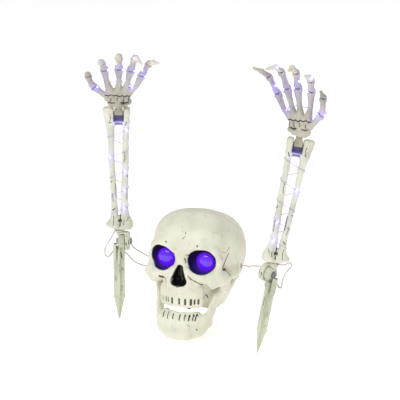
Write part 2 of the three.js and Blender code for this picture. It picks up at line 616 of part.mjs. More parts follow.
const hubs = [];
for (const arm of arms) {
  const handed = (solid) => (arm.mirror ? mirrored(toGeometry(solid)) : toGeometry(solid));
  const sign = arm.mirror ? -1 : 1;
  const hub = new THREE.Group();
  hub.name = `${arm.side}_arm`;
  const leaned = new THREE.Quaternion().setFromAxisAngle(back, arm.lean);
  hub.quaternion.copy(leaned).multiply(new THREE.Quaternion().setFromAxisAngle(up, arm.yaw));
  hub.position.copy(vec(0, 0, elbowHeight).applyQuaternion(leaned).add(arm.foot));
  figure.add(hub);
  addPiece(hub, `${arm.side}_stake`, handed(stakeShape()), '#c9c9b2', 0.6);
  addPiece(hub, `${arm.side}_elbow_bolt`, handed(boltShape()), steel, 0.35, 0.9);
  addPiece(hub, `${arm.side}_elbow_nut`, handed(nutShape()), steel, 0.35, 0.9);
  addPiece(hub, `${arm.side}_elbow_link`, handed(linkShape()), '#d6d4bf', 0.6);

  const upper = new THREE.Group();
  upper.name = `${arm.side}_upper`;
  upper.rotation.z = arm.twist;
  hub.add(upper);
  addPiece(upper, `${arm.side}_forearm`, handed(forearmShape()), '#cfcdb9', 0.55);
  addPiece(upper, `${arm.side}_forearm_lights`, handed(forearmString()), '#8f7cf0', 0.3, 0.2);

  const wrist = new THREE.Group();
  wrist.name = `${arm.side}_wrist`;
  wrist.position.z = forearmBase + forearmLength - wristDrop;
  upper.add(wrist);
  addPiece(wrist, `${arm.side}_wrist_bolt`, handed(wristBoltShape()), steel, 0.35, 0.9);
  const tab = new THREE.Group();
  tab.name = `${arm.side}_tab`;
  tab.rotation.x = arm.bend;
  wrist.add(tab);
  addPiece(tab, `${arm.side}_wrist_tab`, handed(tabShape()), greyBone, 0.6);
  const hand = new THREE.Group();
  hand.name = `${arm.side}_palm`;
  hand.rotation.z = arm.swivel;
  tab.add(hand);
  addPiece(hand, `${arm.side}_hand`, handed(handShape(arm.drift)), greyBone, 0.6);
  addPiece(hand, `${arm.side}_hand_lights`, handed(handString(arm.drift)), '#8f7cf0', 0.3, 0.2);
  hubs.push({ hub, sign });
}

// ================= leads =================
figure.updateMatrixWorld(true);
const wrapRise = forearmBase - 3.2;
const wrapRadius = pegRadius + leadRadius + fitGap;
const onHub = (i, x, y, z) => hubs[i].hub.localToWorld(vec(x * hubs[i].sign, y, z));
const exitPoint = (i, length) => skull.localToWorld(alongLead(leadExits[i], length));

// each lead starts inside the skull, sags between the points given here and ends against a winding;
// a bow point is a share of the way from the skull to the elbow, then a shift across, back and up
function leadRun(exit, end, bows) {
  const start = exitPoint(exit, 6);
  const middle = bows.map(([share, x, y, z]) => start.clone().lerp(end, share).add(vec(x, y, z)));
  return [exitPoint(exit, -5), exitPoint(exit, 0), start, ...middle, end];
}

const leadPieces = [
  ['left_feed_lead', leadRun(0, onHub(0, 8, -7.4, wrapRise + 1.6), [
    [0.35, 0, 2, -10], [0.7, 2, -3, -10], [0.93, 7, -3, -2],
  ])],
  ['left_return_lead', leadRun(1, onHub(0, 3, 9.5, wrapRise + 1.6), [
    [0.4, 0, 4, -16], [0.8, 2, 0, -22], [0.97, -2, 6, -28], [1, -12, 12, -22], [1, -26, 12, -20],
    [1, -37, 8, -30], [1, -43, 3, -18], [1, -37, 1, -5], [1, -22, 2, 2],
  ])],
  ['right_lead', leadRun(2, onHub(1, 2, 9.5, wrapRise + 1.6), [[0.25, 0, -2, -6], [0.7, -3, 2, -12]])],
];
leadPieces.forEach(([name, points]) => {
  const length = new THREE.CatmullRomCurve3(points, false, 'centripetal').getLength();
  const steps = Math.min(80, Math.round(length / leadStep));
  addPiece(figure, name, toGeometry(toSolid(tube(points, leadRadius, 8, steps))), '#d8cfcb', 0.35);
});

// the lead's last turns, wound round the neck of the elbow link
arms.forEach((arm, i) => {
  const turns = 1.2;
  const points = [];
  for (let k = 0; k <= 20; k += 1) {
    const angle = Math.PI * 0.5 + k / 20 * turns * Math.PI * 2;
    points.push(vec(Math.cos(angle) * wrapRadius * hubs[i].sign, Math.sin(angle) * wrapRadius,
      wrapRise - 0.7 + k / 20 * 2.4));
  }
  addPiece(hubs[i].hub, `${arm.side}_lead_winding`, toGeometry(toSolid(tube(points, leadRadius, 8, 20))),
    '#d8cfcb', 0.35);
});

export default figure;
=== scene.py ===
import json
import math
import bpy
import numpy as np
from mathutils import Matrix, Vector


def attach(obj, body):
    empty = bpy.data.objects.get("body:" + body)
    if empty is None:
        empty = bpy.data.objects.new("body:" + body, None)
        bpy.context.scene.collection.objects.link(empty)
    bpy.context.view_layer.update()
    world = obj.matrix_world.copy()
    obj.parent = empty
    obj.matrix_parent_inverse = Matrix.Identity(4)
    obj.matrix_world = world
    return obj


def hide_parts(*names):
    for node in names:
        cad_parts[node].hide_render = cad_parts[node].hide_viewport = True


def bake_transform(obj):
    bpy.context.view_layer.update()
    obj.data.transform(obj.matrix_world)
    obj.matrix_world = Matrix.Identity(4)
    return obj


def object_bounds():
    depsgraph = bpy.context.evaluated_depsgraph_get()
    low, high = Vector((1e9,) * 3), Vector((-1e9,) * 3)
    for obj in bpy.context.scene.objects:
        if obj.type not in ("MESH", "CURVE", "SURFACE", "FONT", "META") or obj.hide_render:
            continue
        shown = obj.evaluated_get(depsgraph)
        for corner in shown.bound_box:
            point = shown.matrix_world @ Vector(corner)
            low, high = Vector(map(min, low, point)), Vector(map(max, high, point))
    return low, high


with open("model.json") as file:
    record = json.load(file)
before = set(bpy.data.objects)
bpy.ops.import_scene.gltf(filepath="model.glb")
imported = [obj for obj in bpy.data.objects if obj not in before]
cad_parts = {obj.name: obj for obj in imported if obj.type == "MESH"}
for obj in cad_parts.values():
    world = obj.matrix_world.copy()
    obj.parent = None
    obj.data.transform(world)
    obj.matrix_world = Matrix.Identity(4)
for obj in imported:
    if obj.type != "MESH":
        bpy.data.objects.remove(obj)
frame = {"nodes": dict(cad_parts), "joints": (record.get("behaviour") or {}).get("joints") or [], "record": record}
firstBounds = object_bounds()
joints = {j["name"]: j for j in frame["joints"]}
print("frame loaded, nodes:", len(frame["nodes"]))


# modelling clay: a block of distances that shapes are added to and cut from, in mm
class Clay:
    def __init__(self, low, high, step):
        self.low = np.array(low, float)
        self.step = step
        self.count = np.ceil((np.array(high, float) - self.low) / step).astype(int) + 1
        self.field = np.full(self.count, 25.0, np.float32)  # empty: everything is far outside

    # another clay of the same grain, with its own corner and distances
    def twin(self, low, field):
        other = Clay(low, low, self.step)
        other.count = np.array(field.shape)
        other.field = field
        return other

    # the part of the block between two corners, and its places
    def window(self, low, high):
        first = np.clip(np.floor((np.array(low) - self.low) / self.step).astype(int), 0, self.count - 1)
        last = np.clip(np.ceil((np.array(high) - self.low) / self.step).astype(int) + 1, 1, self.count)
        cut = tuple(slice(a, b) for a, b in zip(first, last))
        axes = [self.low[i] + self.step * np.arange(first[i], last[i]) for i in range(3)]
        x, y, z = np.meshgrid(*axes, indexing="ij", sparse=True)
        return cut, x, y, z

    # a shape added to the clay or cut from it, with a soft seam
    def mix(self, cut, new, soft, carve=False):
        old = self.field[cut]
        if carve:
            h = np.clip(0.5 - 0.5 * (old + new) / soft, 0, 1)
            self.field[cut] = old * (1 - h) - new * h + soft * h * (1 - h)
        else:
            h = np.clip(0.5 + 0.5 * (old - new) / soft, 0, 1)
            self.field[cut] = old * (1 - h) + new * h - soft * h * (1 - h)

    # egg shape, half as wide, deep and tall as its size says
    def egg(self, at, size, soft=4.0, carve=False):
        at, size = np.array(at, float), np.array(size, float)
        reach = size + soft + 6
        cut, x, y, z = self.window(at - reach, at + reach)
        x, y, z = x - at[0], y - at[1], z - at[2]
        a = np.sqrt((x / size[0]) ** 2 + (y / size[1]) ** 2 + (z / size[2]) ** 2)
        b = np.sqrt((x / size[0] ** 2) ** 2 + (y / size[1] ** 2) ** 2 + (z / size[2] ** 2) ** 2)
        self.mix(cut, a * (a - 1) / np.maximum(b, 1e-6), soft, carve)

    # round stick from a to b with its own radius at each end, squeezed along one axis by flat
    def stick(self, a, b, ra, rb, soft=3.0, carve=False, flat=(1, 1, 1)):
        a, b, flat = np.array(a, float), np.array(b, float), np.array(flat, float)
        reach = max(ra, rb) * flat.max() + soft + 4
        cut, x, y, z = self.window(np.minimum(a, b) - reach, np.maximum(a, b) + reach)
        p, q = a / flat, b / flat
        d = q - p
        x, y, z = x / flat[0] - p[0], y / flat[1] - p[1], z / flat[2] - p[2]
        t = np.clip((x * d[0] + y * d[1] + z * d[2]) / max(d @ d, 1e-9), 0, 1)
        away = np.sqrt((x - t * d[0]) ** 2 + (y - t * d[1]) ** 2 + (z - t * d[2]) ** 2)
        self.mix(cut, (away - (ra + (rb - ra) * t)) * flat.min(), soft, carve)

    # upright wall that follows a line on the ground plan, with its own height at each end
    def wall(self, a, b, thick, middle, half, soft=3.0):
        a, b = np.array(a, float), np.array(b, float)
        reach = max(thick) + soft + 3
        low = [min(a[0], b[0]) - reach, min(a[1], b[1]) - reach, min(middle) - max(half) - reach]
        high = [max(a[0], b[0]) + reach, max(a[1], b[1]) + reach, max(middle) + max(half) + reach]
        cut, x, y, z = self.window(low, high)
        d = b - a
        t = np.clip(((x - a[0]) * d[0] + (y - a[1]) * d[1]) / max(d @ d, 1e-9), 0, 1)
        r = thick[0] + (thick[1] - thick[0]) * t
        plan = (x - a[0] - t * d[0]) ** 2 + (y - a[1] - t * d[1]) ** 2
        rise = np.abs(z - (middle[0] + (middle[1] - middle[0]) * t)) - (half[0] + (half[1] - half[0]) * t)
        self.mix(cut, np.sqrt(plan + np.maximum(rise, 0) ** 2) - r, soft)

    # disc lying across x with rounded rims
    def disc(self, at, radius, half, edge=1.0, soft=1.0, carve=False):
        at = np.array(at, float)
        reach = np.array([half, radius, radius]) + soft + 3
        cut, x, y, z = self.window(at - reach, at + reach)
        out = np.sqrt((y - at[1]) ** 2 + (z - at[2]) ** 2) - radius + edge
        side = np.abs(x - at[0]) - half + edge
        corner = np.sqrt(np.maximum(out, 0) ** 2 + np.maximum(side, 0) ** 2)
        inner = np.minimum(np.maximum(out, side), 0)
        self.mix(cut, corner + inner - edge, soft, carve)

    # squared block with rounded edges
    def block(self, low, high, edge=1.0, soft=1.0, carve=False):
        low, high = np.array(low, float), np.array(high, float)
        cut, x, y, z = self.window(low - soft - 3, high + soft + 3)
        middle, half = (low + high) / 2, (high - low) / 2 - edge
        q = [np.abs(v - m) - h for v, m, h in zip((x, y, z), middle, half)]
        out = np.sqrt(sum(np.maximum(v, 0) ** 2 for v in q))
        inner = np.minimum(np.maximum(np.maximum(q[0], q[1]), q[2]), 0)
        self.mix(cut, out + inner - edge, soft, carve)

    # smoothed copy of the distances: what lies deeper than this copy says is in a crease
    def blurred(self, reach):
        soft = self.field.copy()
        n = max(1, int(round(reach / self.step)))
        for axis in range(3):
            edges = [(n + 1, n) if i == axis else (0, 0) for i in range(3)]
            summed = np.cumsum(np.pad(soft, edges, mode="edge"), axis)
            size = self.field.shape[axis]
            late = np.take(summed, range(2 * n + 1, 2 * n + 1 + size), axis)
            early = np.take(summed, range(0, size), axis)
            soft = (late - early) / (2 * n + 1)
        return soft

    # distances at any points, straight between the block's own places
    def sample(self, points, field=None):
        field = self.field if field is None else field
        g = (np.asarray(points) - self.low) / self.step
        g = np.clip(g, 0, np.array(field.shape) - 1.001)
        i = g.astype(int)
        f = g - i
        total = 0
        for dx in (0, 1):
            for dy in (0, 1):
                for dz in (0, 1):
                    w = (f[:, 0] if dx else 1 - f[:, 0]) * (f[:, 1] if dy else 1 - f[:, 1])
                    w = w * (f[:, 2] if dz else 1 - f[:, 2])
                    total = total + w * field[i[:, 0] + dx, i[:, 1] + dy, i[:, 2] + dz]
        return total

    # the way out of the clay at each point
    def slope(self, points):
        h = self.step * 0.7
        grad = np.stack([
            self.sample(points + np.eye(3)[k] * h) - self.sample(points - np.eye(3)[k] * h) for k in range(3)
        ], 1)
        return grad / np.maximum(np.linalg.norm(grad, axis=1, keepdims=True), 1e-6)

    # the clay's skin as points and four-sided faces, outward facing
    def skin(self):
        f = self.field
        solid = f < 0
        corners = [(a, b, c) for a in (0, 1) for b in (0, 1) for c in (0, 1)]
        size = np.array(f.shape) - 1
        total = np.zeros(size, np.int8)
        for c in corners:
            total += solid[c[0]:c[0] + size[0], c[1]:c[1] + size[1], c[2]:c[2] + size[2]]
        cells = np.argwhere((total > 0) & (total < 8))
        values = {c: f[tuple((cells + c).T)] for c in corners}
        place = np.zeros((len(cells), 3))
        hits = np.zeros(len(cells))
        for c in corners:
            for axis in range(3):
                if c[axis]:
                    continue
                e = tuple(c[k] + (k == axis) for k in range(3))
                va, vb = values[c], values[e]
                crossed = (va < 0) != (vb < 0)
                t = np.where(crossed, va / np.where(crossed, va - vb, 1), 0)
                spot = np.array(c, float) + np.outer(t, np.eye(3)[axis])
                place += spot * crossed[:, None]
                hits += crossed
        points = self.low + self.step * (cells + place / hits[:, None])
        number = np.full(size, -1, np.int64)
        number[tuple(cells.T)] = np.arange(len(cells))
        faces = []
        for axis in range(3):
            u, v = (axis + 1) % 3, (axis + 2) % 3
            near = [slice(1, -1)] * 3
            near[axis] = slice(0, -1)
            far = list(near)
            far[axis] = slice(1, None)
            a, b = solid[tuple(near)], solid[tuple(far)]
            spots = np.argwhere(a != b)
            full = spots.copy()
            full[:, u] += 1
            full[:, v] += 1
            quad = []
            for du, dv in ((-1, -1), (0, -1), (0, 0), (-1, 0)):
                cell = full.copy()
                cell[:, u] += du
                cell[:, v] += dv
                quad.append(number[tuple(cell.T)])
            quad = np.stack(quad, 1)
            outward = a[tuple(spots.T)]
            faces.append(np.where(outward[:, None], quad, quad[:, ::-1]))
        faces = np.concatenate(faces)
        for _ in range(3):
            points = points - self.slope(points) * self.sample(points)[:, None]
        return points, faces


# both sides of a piece from its right half
def mirroredClay(half):
    low = [-half.step * (half.field.shape[0] - 1), half.low[1], half.low[2]]
    return half.twin(low, np.concatenate([half.field[:0:-1], half.field], 0))


def smoothstep(low, high, value):
    t = np.clip((value - low) / (high - low), 0, 1)
    return t * t * (3 - 2 * t)


# distance from points to a bent line, mm
def toLine(points, line):
    best = np.full(len(points), 99.0)
    for a, b in zip(line[:-1], line[1:]):
        a, b = np.array(a, float), np.array(b, float)
        d = b - a
        t = np.clip(((points - a) @ d) / (d @ d), 0, 1)
        best = np.minimum(best, np.linalg.norm(points - a - t[:, None] * d, axis=1))
    return best


# points in a piece's own mm to their place in the set, in metres
def toPlace(points, place):
    m = np.array(place)
    return np.asarray(points, float) / 1000 @ m[:3, :3].T + m[:3, 3]


# a mesh put in its place, with a value at each point for every note; a mirrored one has its faces turned back
def newObject(name, points, faces, place, notes=None):
    mesh = bpy.data.meshes.new(name)
    points = toPlace(points, place)
    if place.determinant() < 0:
        faces = faces[:, ::-1]
    mesh.vertices.add(len(points))
    mesh.vertices.foreach_set("co", points.astype(np.float32).ravel())
    mesh.loops.add(faces.size)
    mesh.loops.foreach_set("vertex_index", faces.astype(np.int32).ravel())
    mesh.polygons.add(len(faces))
    mesh.polygons.foreach_set("loop_start", np.arange(0, faces.size, faces.shape[1], dtype=np.int32))
    mesh.update(calc_edges=True)
    mesh.validate()
    mesh.shade_smooth()
    for key, values in (notes or {}).items():
        layer = mesh.attributes.new(key, "FLOAT", "POINT")
        layer.data.foreach_set("value", np.asarray(values, np.float32))
    thing = bpy.data.objects.new(name, mesh)
    bpy.context.scene.collection.objects.link(thing)
    return thing


# one material and the nodes that are added to it
class Nodes:
    def __init__(self, name):
        self.material = bpy.data.materials.new(name)
        self.material.use_nodes = True
        self.tree = self.material.node_tree
        self.shader = self.tree.nodes["Principled BSDF"]
        self.coords = self.add("ShaderNodeTexCoord").outputs["Object"]

    def add(self, kind, **values):
        node = self.tree.nodes.new(kind)
        for key, value in values.items():
            setattr(node, key, value)
        return node

    def link(self, source, target):
        self.tree.links.new(source, target)

    # a number or colour set on a socket, or another node linked to it
    def feed(self, socket, value):
        if isinstance(value, (int, float)):
            socket.default_value = value
        elif isinstance(value, tuple):
            socket.default_value = (*value, 1) if socket.type == "RGBA" else value
        else:
            self.link(value, socket)

    def put(self, key, value):
        self.feed(self.shader.inputs[key], value)

    def noise(self, scale, detail, rough=0.55, stretch=None):
        node = self.add("ShaderNodeTexNoise")
        node.inputs["Scale"].default_value = scale
        node.inputs["Detail"].default_value = detail
        node.inputs["Roughness"].default_value = rough
        source = self.coords
        if stretch:
            mapping = self.add("ShaderNodeMapping")
            mapping.inputs["Scale"].default_value = stretch
            self.link(self.coords, mapping.inputs["Vector"])
            source = mapping.outputs["Vector"]
        self.link(source, node.inputs["Vector"])
        return node.outputs["Fac"]

    def range(self, source, low, high, first=0.0, last=1.0):
        node = self.add("ShaderNodeMapRange")
        node.interpolation_type = "SMOOTHSTEP"
        for key, value in (("From Min", low), ("From Max", high), ("To Min", first), ("To Max", last)):
            node.inputs[key].default_value = value
        self.link(source, node.inputs["Value"])
        return node.outputs["Result"]

    def maths(self, kind, a, b=0.0):
        node = self.add("ShaderNodeMath", operation=kind)
        self.feed(node.inputs[0], a)
        self.feed(node.inputs[1], b)
        return node.outputs[0]

    def blend(self, amount, a, b):
        node = self.add("ShaderNodeMix", data_type="RGBA")
        for i, value in ((0, amount), (6, a), (7, b)):  # the colour sockets of this node are 6 and 7
            self.feed(node.inputs[i], value)
        return node.outputs[2]

    # two close tones in cloudy patches
    def mottle(self, scale, detail, low, high, first, second):
        return self.blend(self.range(self.noise(scale, detail), low, high), first, second)

    def note(self, name):
        return self.add("ShaderNodeAttribute", attribute_name=name).outputs["Fac"]

    # fine relief, with rounded corners where a radius is given
    def bump(self, height, strength, distance, corner=None):
        node = self.add("ShaderNodeBump")
        node.inputs["Strength"].default_value = strength
        node.inputs["Distance"].default_value = distance
        self.link(height, node.inputs["Height"])
        if corner:
            bevel = self.add("ShaderNodeBevel")
            bevel.samples = 4
            bevel.inputs["Radius"].default_value = corner
            self.link(bevel.outputs["Normal"], node.inputs["Normal"])
        self.link(node.outputs["Normal"], self.shader.inputs["Normal"])


def rgb(r, g, b):
    return tuple((v / 255) ** 2.2 for v in (r, g, b))


# light, shade and wash of each moulding (the wash also gives the painted shade in creases), and the paints and
# painted light colour they share
boneColours = {
    "bone plastic": ((232, 230, 212), (219, 216, 193), (128, 120, 92)),
    "hand plastic": ((190, 185, 170), (154, 148, 133), (84, 78, 62)),
    "forearm plastic": ((224, 224, 206), (200, 199, 180), (120, 114, 90)),
    "stake plastic": ((214, 217, 194), (184, 189, 164), (104, 106, 78)),
}
paintColours = {"black": rgb(22, 20, 24), "pale": rgb(224, 221, 190), "painted_light": rgb(118, 88, 255)}


# moulded plastic with a brown wash and painted shade in its creases, black paint where noted (in some hollows it
# is painted shade) and painted light from the drops nearby
def boneFinish(name):
    n = Nodes(name)
    light, shade, wash_and_shade = (rgb(*colour) for colour in boneColours[name])
    fine = n.noise(420, 3, 0.5)
    body = n.blend(n.range(n.noise(28, 5, 0.6), 0.35, 0.7), light, shade)
    body = n.blend(n.range(n.noise(90, 3), 0.55, 0.8, 0, 0.25), body, wash_and_shade)
    body = n.blend(n.maths("MULTIPLY", n.note("pale"), 0.8), body, paintColours["pale"])
    # brown wash and painted shade, stronger the deeper a point lies in a crease
    crease_wash_and_shade = n.maths("MULTIPLY", n.note("crease_wash_and_shade"), n.range(n.noise(160, 4), 0.2, 0.7, 0.7, 1.1))
    body = n.blend(n.range(crease_wash_and_shade, 0.02, 1.0, 0, 0.85), body, wash_and_shade)
    ragged = n.maths("MULTIPLY", n.maths("SUBTRACT", n.noise(700, 3), 0.5), 1.5)
    line = n.range(n.maths("ADD", n.note("crack"), ragged), 0.2, 0.75, 1, 0)
    black = n.maths("MAXIMUM", n.note("black"), n.maths("MULTIPLY", line, 0.92))
    n.put("Base Color", n.blend(black, body, paintColours["black"]))
    n.put("Roughness", n.range(fine, 0.3, 0.8, 0.36, 0.52))
    n.put("Subsurface Weight", 0.06)
    n.put("Subsurface Radius", (0.004, 0.003, 0.002))
    # painted light: violet emission where the drops and lenses light the surface
    n.put("Emission Color", paintColours["painted_light"])
    n.put("Emission Strength", n.note("painted_light"))
    height = n.maths("ADD", n.maths("MULTIPLY", fine, 0.25), n.maths("MULTIPLY", n.noise(70, 4), 0.8))
    n.bump(height, 0.25, 0.0012)
    return n.material


# plain finish for small hard pieces: two close tones, scuffs, fine bump
def hardFinish(name, light, dark, rough, metal, scale, bump=0.2, corner=0.0004):
    n = Nodes(name)
    body = n.mottle(scale, 5, 0.3, 0.72, light, dark)
    scuff = n.noise(scale * 6, 3, 0.6, (1, 1, 0.35))
    body = n.blend(n.range(scuff, 0.6, 0.75, 0, 0.3), body, tuple(min(1, v * 1.4 + 0.01) for v in light))
    n.put("Base Color", body)
    n.put("Metallic", metal)
    n.put("Roughness", n.range(scuff, 0.2, 0.8, rough - 0.08, rough + 0.12))
    n.bump(n.noise(scale * 10, 3), bump, 0.0004, corner)
    return n.material


# the skull's own frame, found from the jaw's hinge
hinge = joints["jaw_open"]
pinPlace = Vector((0, 0.002, -0.022))  # middle of the jaw pins in that frame, m
skullTurn = math.atan2(hinge["axis"][1], hinge["axis"][0])
skullFrame = Matrix.Rotation(skullTurn, 4, "Z")
skullFrame.translation = Vector(hinge["pos_m"]) - skullFrame.to_3x3() @ pinPlace

# skull, mm: an arch is half width, depth and middle; the slots between teeth are angles round it
skullSizes = {
    "step": 1.15,
    "socketAt": (29.5, -54, 5.5),
    "socket": (19.3, 26, 18),
    "lensAt": (30, -44.5, 1.2),
    "lensRadius": 13.8,
    "seam": 18,
    "upperArch": (31.5, 17, -55.5),
    "lowerArch": (28.5, 17, -54),
    "upperSlots": (-1.05, -0.84, -0.64, -0.5, -0.27, 0.08, 0.375, 0.66, 0.86, 1.12),
    "lowerSlots": (-0.98, -0.57, -0.25, 0.11, 0.39, 0.63, 0.87, 1.1),
    "leadHoles": ((-44, 48, -27.2), (-44.2, 48, -29.8), (44, 48, -28)),
    "leadWay": (0.812, 0.583),
}


# a point on a tooth arch seen from above, grown outwards or inwards
def archPoint(arch, angle, grow=0.0):
    wide, deep, middle = arch
    return np.array([(wide + grow) * math.sin(angle), middle - (deep + grow) * math.cos(angle)])


def makeSkull(v):
    c = Clay([0, -92, -82], [74, 84, 70], v["step"])
    c.egg((0, 7, 0), (64, 68, 60), 1)
    c.egg((0, 5, -34), (49, 55, 43), 14)
    c.egg((22, -19, 28), (33, 39, 34), 16)
    c.egg((0, -12, 12), (50, 50, 49.5), 14)
    c.egg((0, -24, 24), (32, 33, 36), 12)
    c.egg((26, 18, 14), (29, 36, 35), 14)
    # face: upper jaw, cheeks, brow, eye rims, nose bones
    c.egg((0, -47, -34), (32, 26, 26), 8)
    c.egg((0, -50, -18), (27, 17, 18), 8)
    c.stick((43, -51, -21), (55, -40, -19), 12, 8.5, 6, flat=(0.9, 0.85, 1))
    c.stick((45, -52, -25), (38, -56, -19), 7.5, 7, 7)
    c.stick((54, -42, -22), (60, -14, -19), 8.6, 6.2, 7)
    c.stick((60, -14, -18), (58, 8, -20), 6, 5, 8)
    c.stick((10, -50, 19), (27, -53, 26), 5.5, 6.5, 8)
    c.stick((27, -53, 26), (45, -48, 19), 6.5, 5.5, 8)
    c.stick((46, -48, 18), (50.5, -45, 4), 5, 5.2, 6)
    c.stick((50.5, -45, 4), (50, -47, -13), 5.2, 6, 6)
    c.stick((49, -49, -14), (30, -57, -17), 6, 6, 7)
    c.stick((30, -57, -17), (13, -61, -8), 6, 4.5, 6)
    c.stick((8, -54, 14), (9.5, -58.5, -6), 4.2, 3.8, 5)
    c.egg((13.5, -67, 5), (6, 9.5, 12), 5, True)
    c.stick((0, -52, 22), (0, -57, 14), 7, 5.6, 6)
    c.stick((0, -56, 16), (0, -61.5, 5), 5.4, 4, 5)
    c.stick((11, -64, -8), (14.5, -67, -24), 3.6, 3.4, 5)
    c.stick((13, -68, -29), (3, -71, -32), 3.6, 3.2, 4)
    # tooth band and the lumps of the tooth roots above it
    angles = np.linspace(0, 1.5, 11)
    for a, b in zip(angles[:-1], angles[1:]):
        p, q = archPoint(v["upperArch"], a, -4.4), archPoint(v["upperArch"], b, -4.4)
        c.wall(p, q, (4.4, 4.4), (-47, -47), (9, 9), 4)
    # housing of the battery bay
    c.block((-5, -27, -80), (31, 17, -52), 3, 6)
    # hollows: temple, under the cheek, beside the tooth roots
    c.egg((72, -30, 10), (12, 18, 18), 10, True)
    c.egg((49, -36, -52), (13, 20, 21), 6, True)
    c.egg((31, -72, -33), (8, 6, 8), 7, True)
    c.stick((40, 6, -48), (36, -2, -67), 8, 5.5, 7)
    c.egg((60, 8, -15), (3.2, 5.5, 4.2), 3, True)
    # slot that takes the jaw's upright, wide enough for its swing
    c.block((45.6, -38, -90), (53.8, 13.5, -9.5), 1, 1.5, True)
    c.block((45.6, -44, -90), (53.8, -20, -27), 2, 2, True)
    c.block((39.5, -46, -90), (53, -15, -36), 2, 4, True)
    c.block((-80, -90, -100), (80, 90, -72.6), 0.5, 1.5, True)
    # eye sockets and nose
    c.egg(v["socketAt"], v["socket"], 2, True)
    c.stick((30.5, -62, 4), (30, -38, 1.2), 16.5, 14.6, 2, True)
    c.stick((0, -64, -6), (0, -70, -19), 4.2, 9, 1.5, True, flat=(1, 1.5, 1))
    c.egg((5.8, -70, -23.5), (6.6, 15, 5.6), 2, True)
    whole = mirroredClay(c)
    for angle in v["upperSlots"]:
        x, y = archPoint(v["upperArch"], angle, 1.0)
        whole.stick((x, y, -47.5), (x, y, -58.5), 1.0, 0.8, 1.6, True)
    # battery bay, door tab, switch slot, door screw, shell screws, lead holes
    whole.block((-27.2, -23.2, -80), (27.2, 13.2, -58), 0.4, 0.6, True)
    whole.block((0, -10.3, -80), (35.4, 0.3, -70.7), 0.4, 0.6, True)
    whole.block((-4.4, -34.9, -80), (4.4, -31.1, -69), 0.4, 0.6, True)
    whole.stick((31.15, -5, -80), (31.15, -5, -62), 1.6, 1.6, 0.5, True)
    for x, z, y in ((50, 32, 24), (-50, 32, 24), (44, -40, 34), (-44, -40, 34)):
        whole.stick((x, y + 3.4, z), (x, y + 40, z), 3.4, 3.4, 0.8, True)
    for x, y, z in v["leadHoles"]:
        s = math.copysign(v["leadWay"][0], x)
        whole.stick((x - s * 8, y - 4.7, z), (x + s * 9, y + 5.2, z), 1.2, 1.2, 0.6, True)
    return whole


# painted marks on the skull, seen from the front (y left out) or the side (x left out), with half widths
def paintedLines(v):
    front = [
        (0.5, [(22, -22), (27, -25.5), (30, -28)]),
        (0.9, [(29, -27.4), (31, -28.2)]),
        (0.35, [(14, -14), (18, -19), (23, -23)]),
        (0.4, [(38, -25), (42, -29), (43.4, -34)]),
        (0.8, [(43.2, -36), (43.4, -36.6)]),
        (0.8, [(25.5, 28.4), (25.7, 30)]),
        (0.45, [(8, 15), (12.5, 13.6), (15, 15.5)]),
        (0.45, [(-8, 15), (-12.5, 13.6), (-15, 15.5)]),
        (0.3, [(6.4, 10), (8, 5), (7.6, 2)]),
        (1.9, [(-27, -22.4), (-31.5, -21.8)]),
        (0.4, [(-25, -22.6), (-22.4, -25), (-21, -29.6)]),
        (0.6, [(-22, 29), (-23, 30.6)]),
        (0.25, [(2, 36), (6, 40), (5, 46)]),
        (0.6, [(0, -31), (0, -28.6)]),
    ]
    side = [
        (0.6, [(-24, 12), (-29, 5), (-32, -2), (-33, -8)]),
        (1.1, [(-33, -11), (-34, -17)]),
        (0.3, [(-39, 18), (-33, 15), (-27, 16), (-22, 21)]),
        (0.3, [(-36, 9), (-38, 2)]),
        (1.2, [(-1, -27), (-3, -34)]),
        (0.8, [(5, -23), (8, -27), (5, -35)]),
        (1.2, [(-3, -43), (-5, -49)]),
        (0.8, [(3, -40), (8, -38.5)]),
    ]
    front = [((0, 2), width + 0.25, line) for width, line in front]
    side = [((1, 2), width + 0.2, line) for width, line in side]
    for angle in v["upperSlots"]:
        x = archPoint(v["upperArch"], angle)[0]
        wide = 1.5 if abs(angle - 0.2) < 0.5 else 0.8
        front.append(((0, 2), wide, [(x, -48.6), (x, -54 - wide)]))
    return front + side


# distance of points to each mark, mm, less its half width; marks lie on the face's front or sides
def toMarks(points, marks):
    best = np.full(len(points), 9.0)
    for axes, width, line in marks:
        flat = points[:, axes]
        line = np.array(line, float)
        away = toLine(flat, line) - width + 0.5
        if axes == (0, 2):
            away = away + np.where(points[:, 1] > -30, 9, 0)
        else:
            away = away + np.where(np.abs(points[:, 0]) < 34, 9, 0)
        best = np.minimum(best, away)
    return best


boneMaterial = boneFinish("bone plastic")


# one moulding of the skull, cut from the clay by keep, with its crease wash and painted crease shade, cracks and
# other notes
def shell(clay, name, keep, extra, lines):
    piece = clay.twin(clay.low, clay.field.copy())
    if keep is not None:
        keep(piece)
    points, faces = piece.skin()
    deep = clay.sample(points, clay.blurred(3.6)) - clay.sample(points)
    wide = clay.sample(points, clay.blurred(8)) - clay.sample(points)
    # how deep each point lies in a hollow: brown wash and painted shade there
    notes = {"crease_wash_and_shade": np.clip(-deep * 0.55 - 0.1, 0, 1) + np.clip(-wide * 0.12 - 0.12, 0, 0.6)}
    notes["crack"] = toMarks(points, lines)
    notes.update(extra(points))
    thing = newObject(name, points, faces, skullFrame, notes)
    thing.data.materials.append(boneMaterial)
    return thing


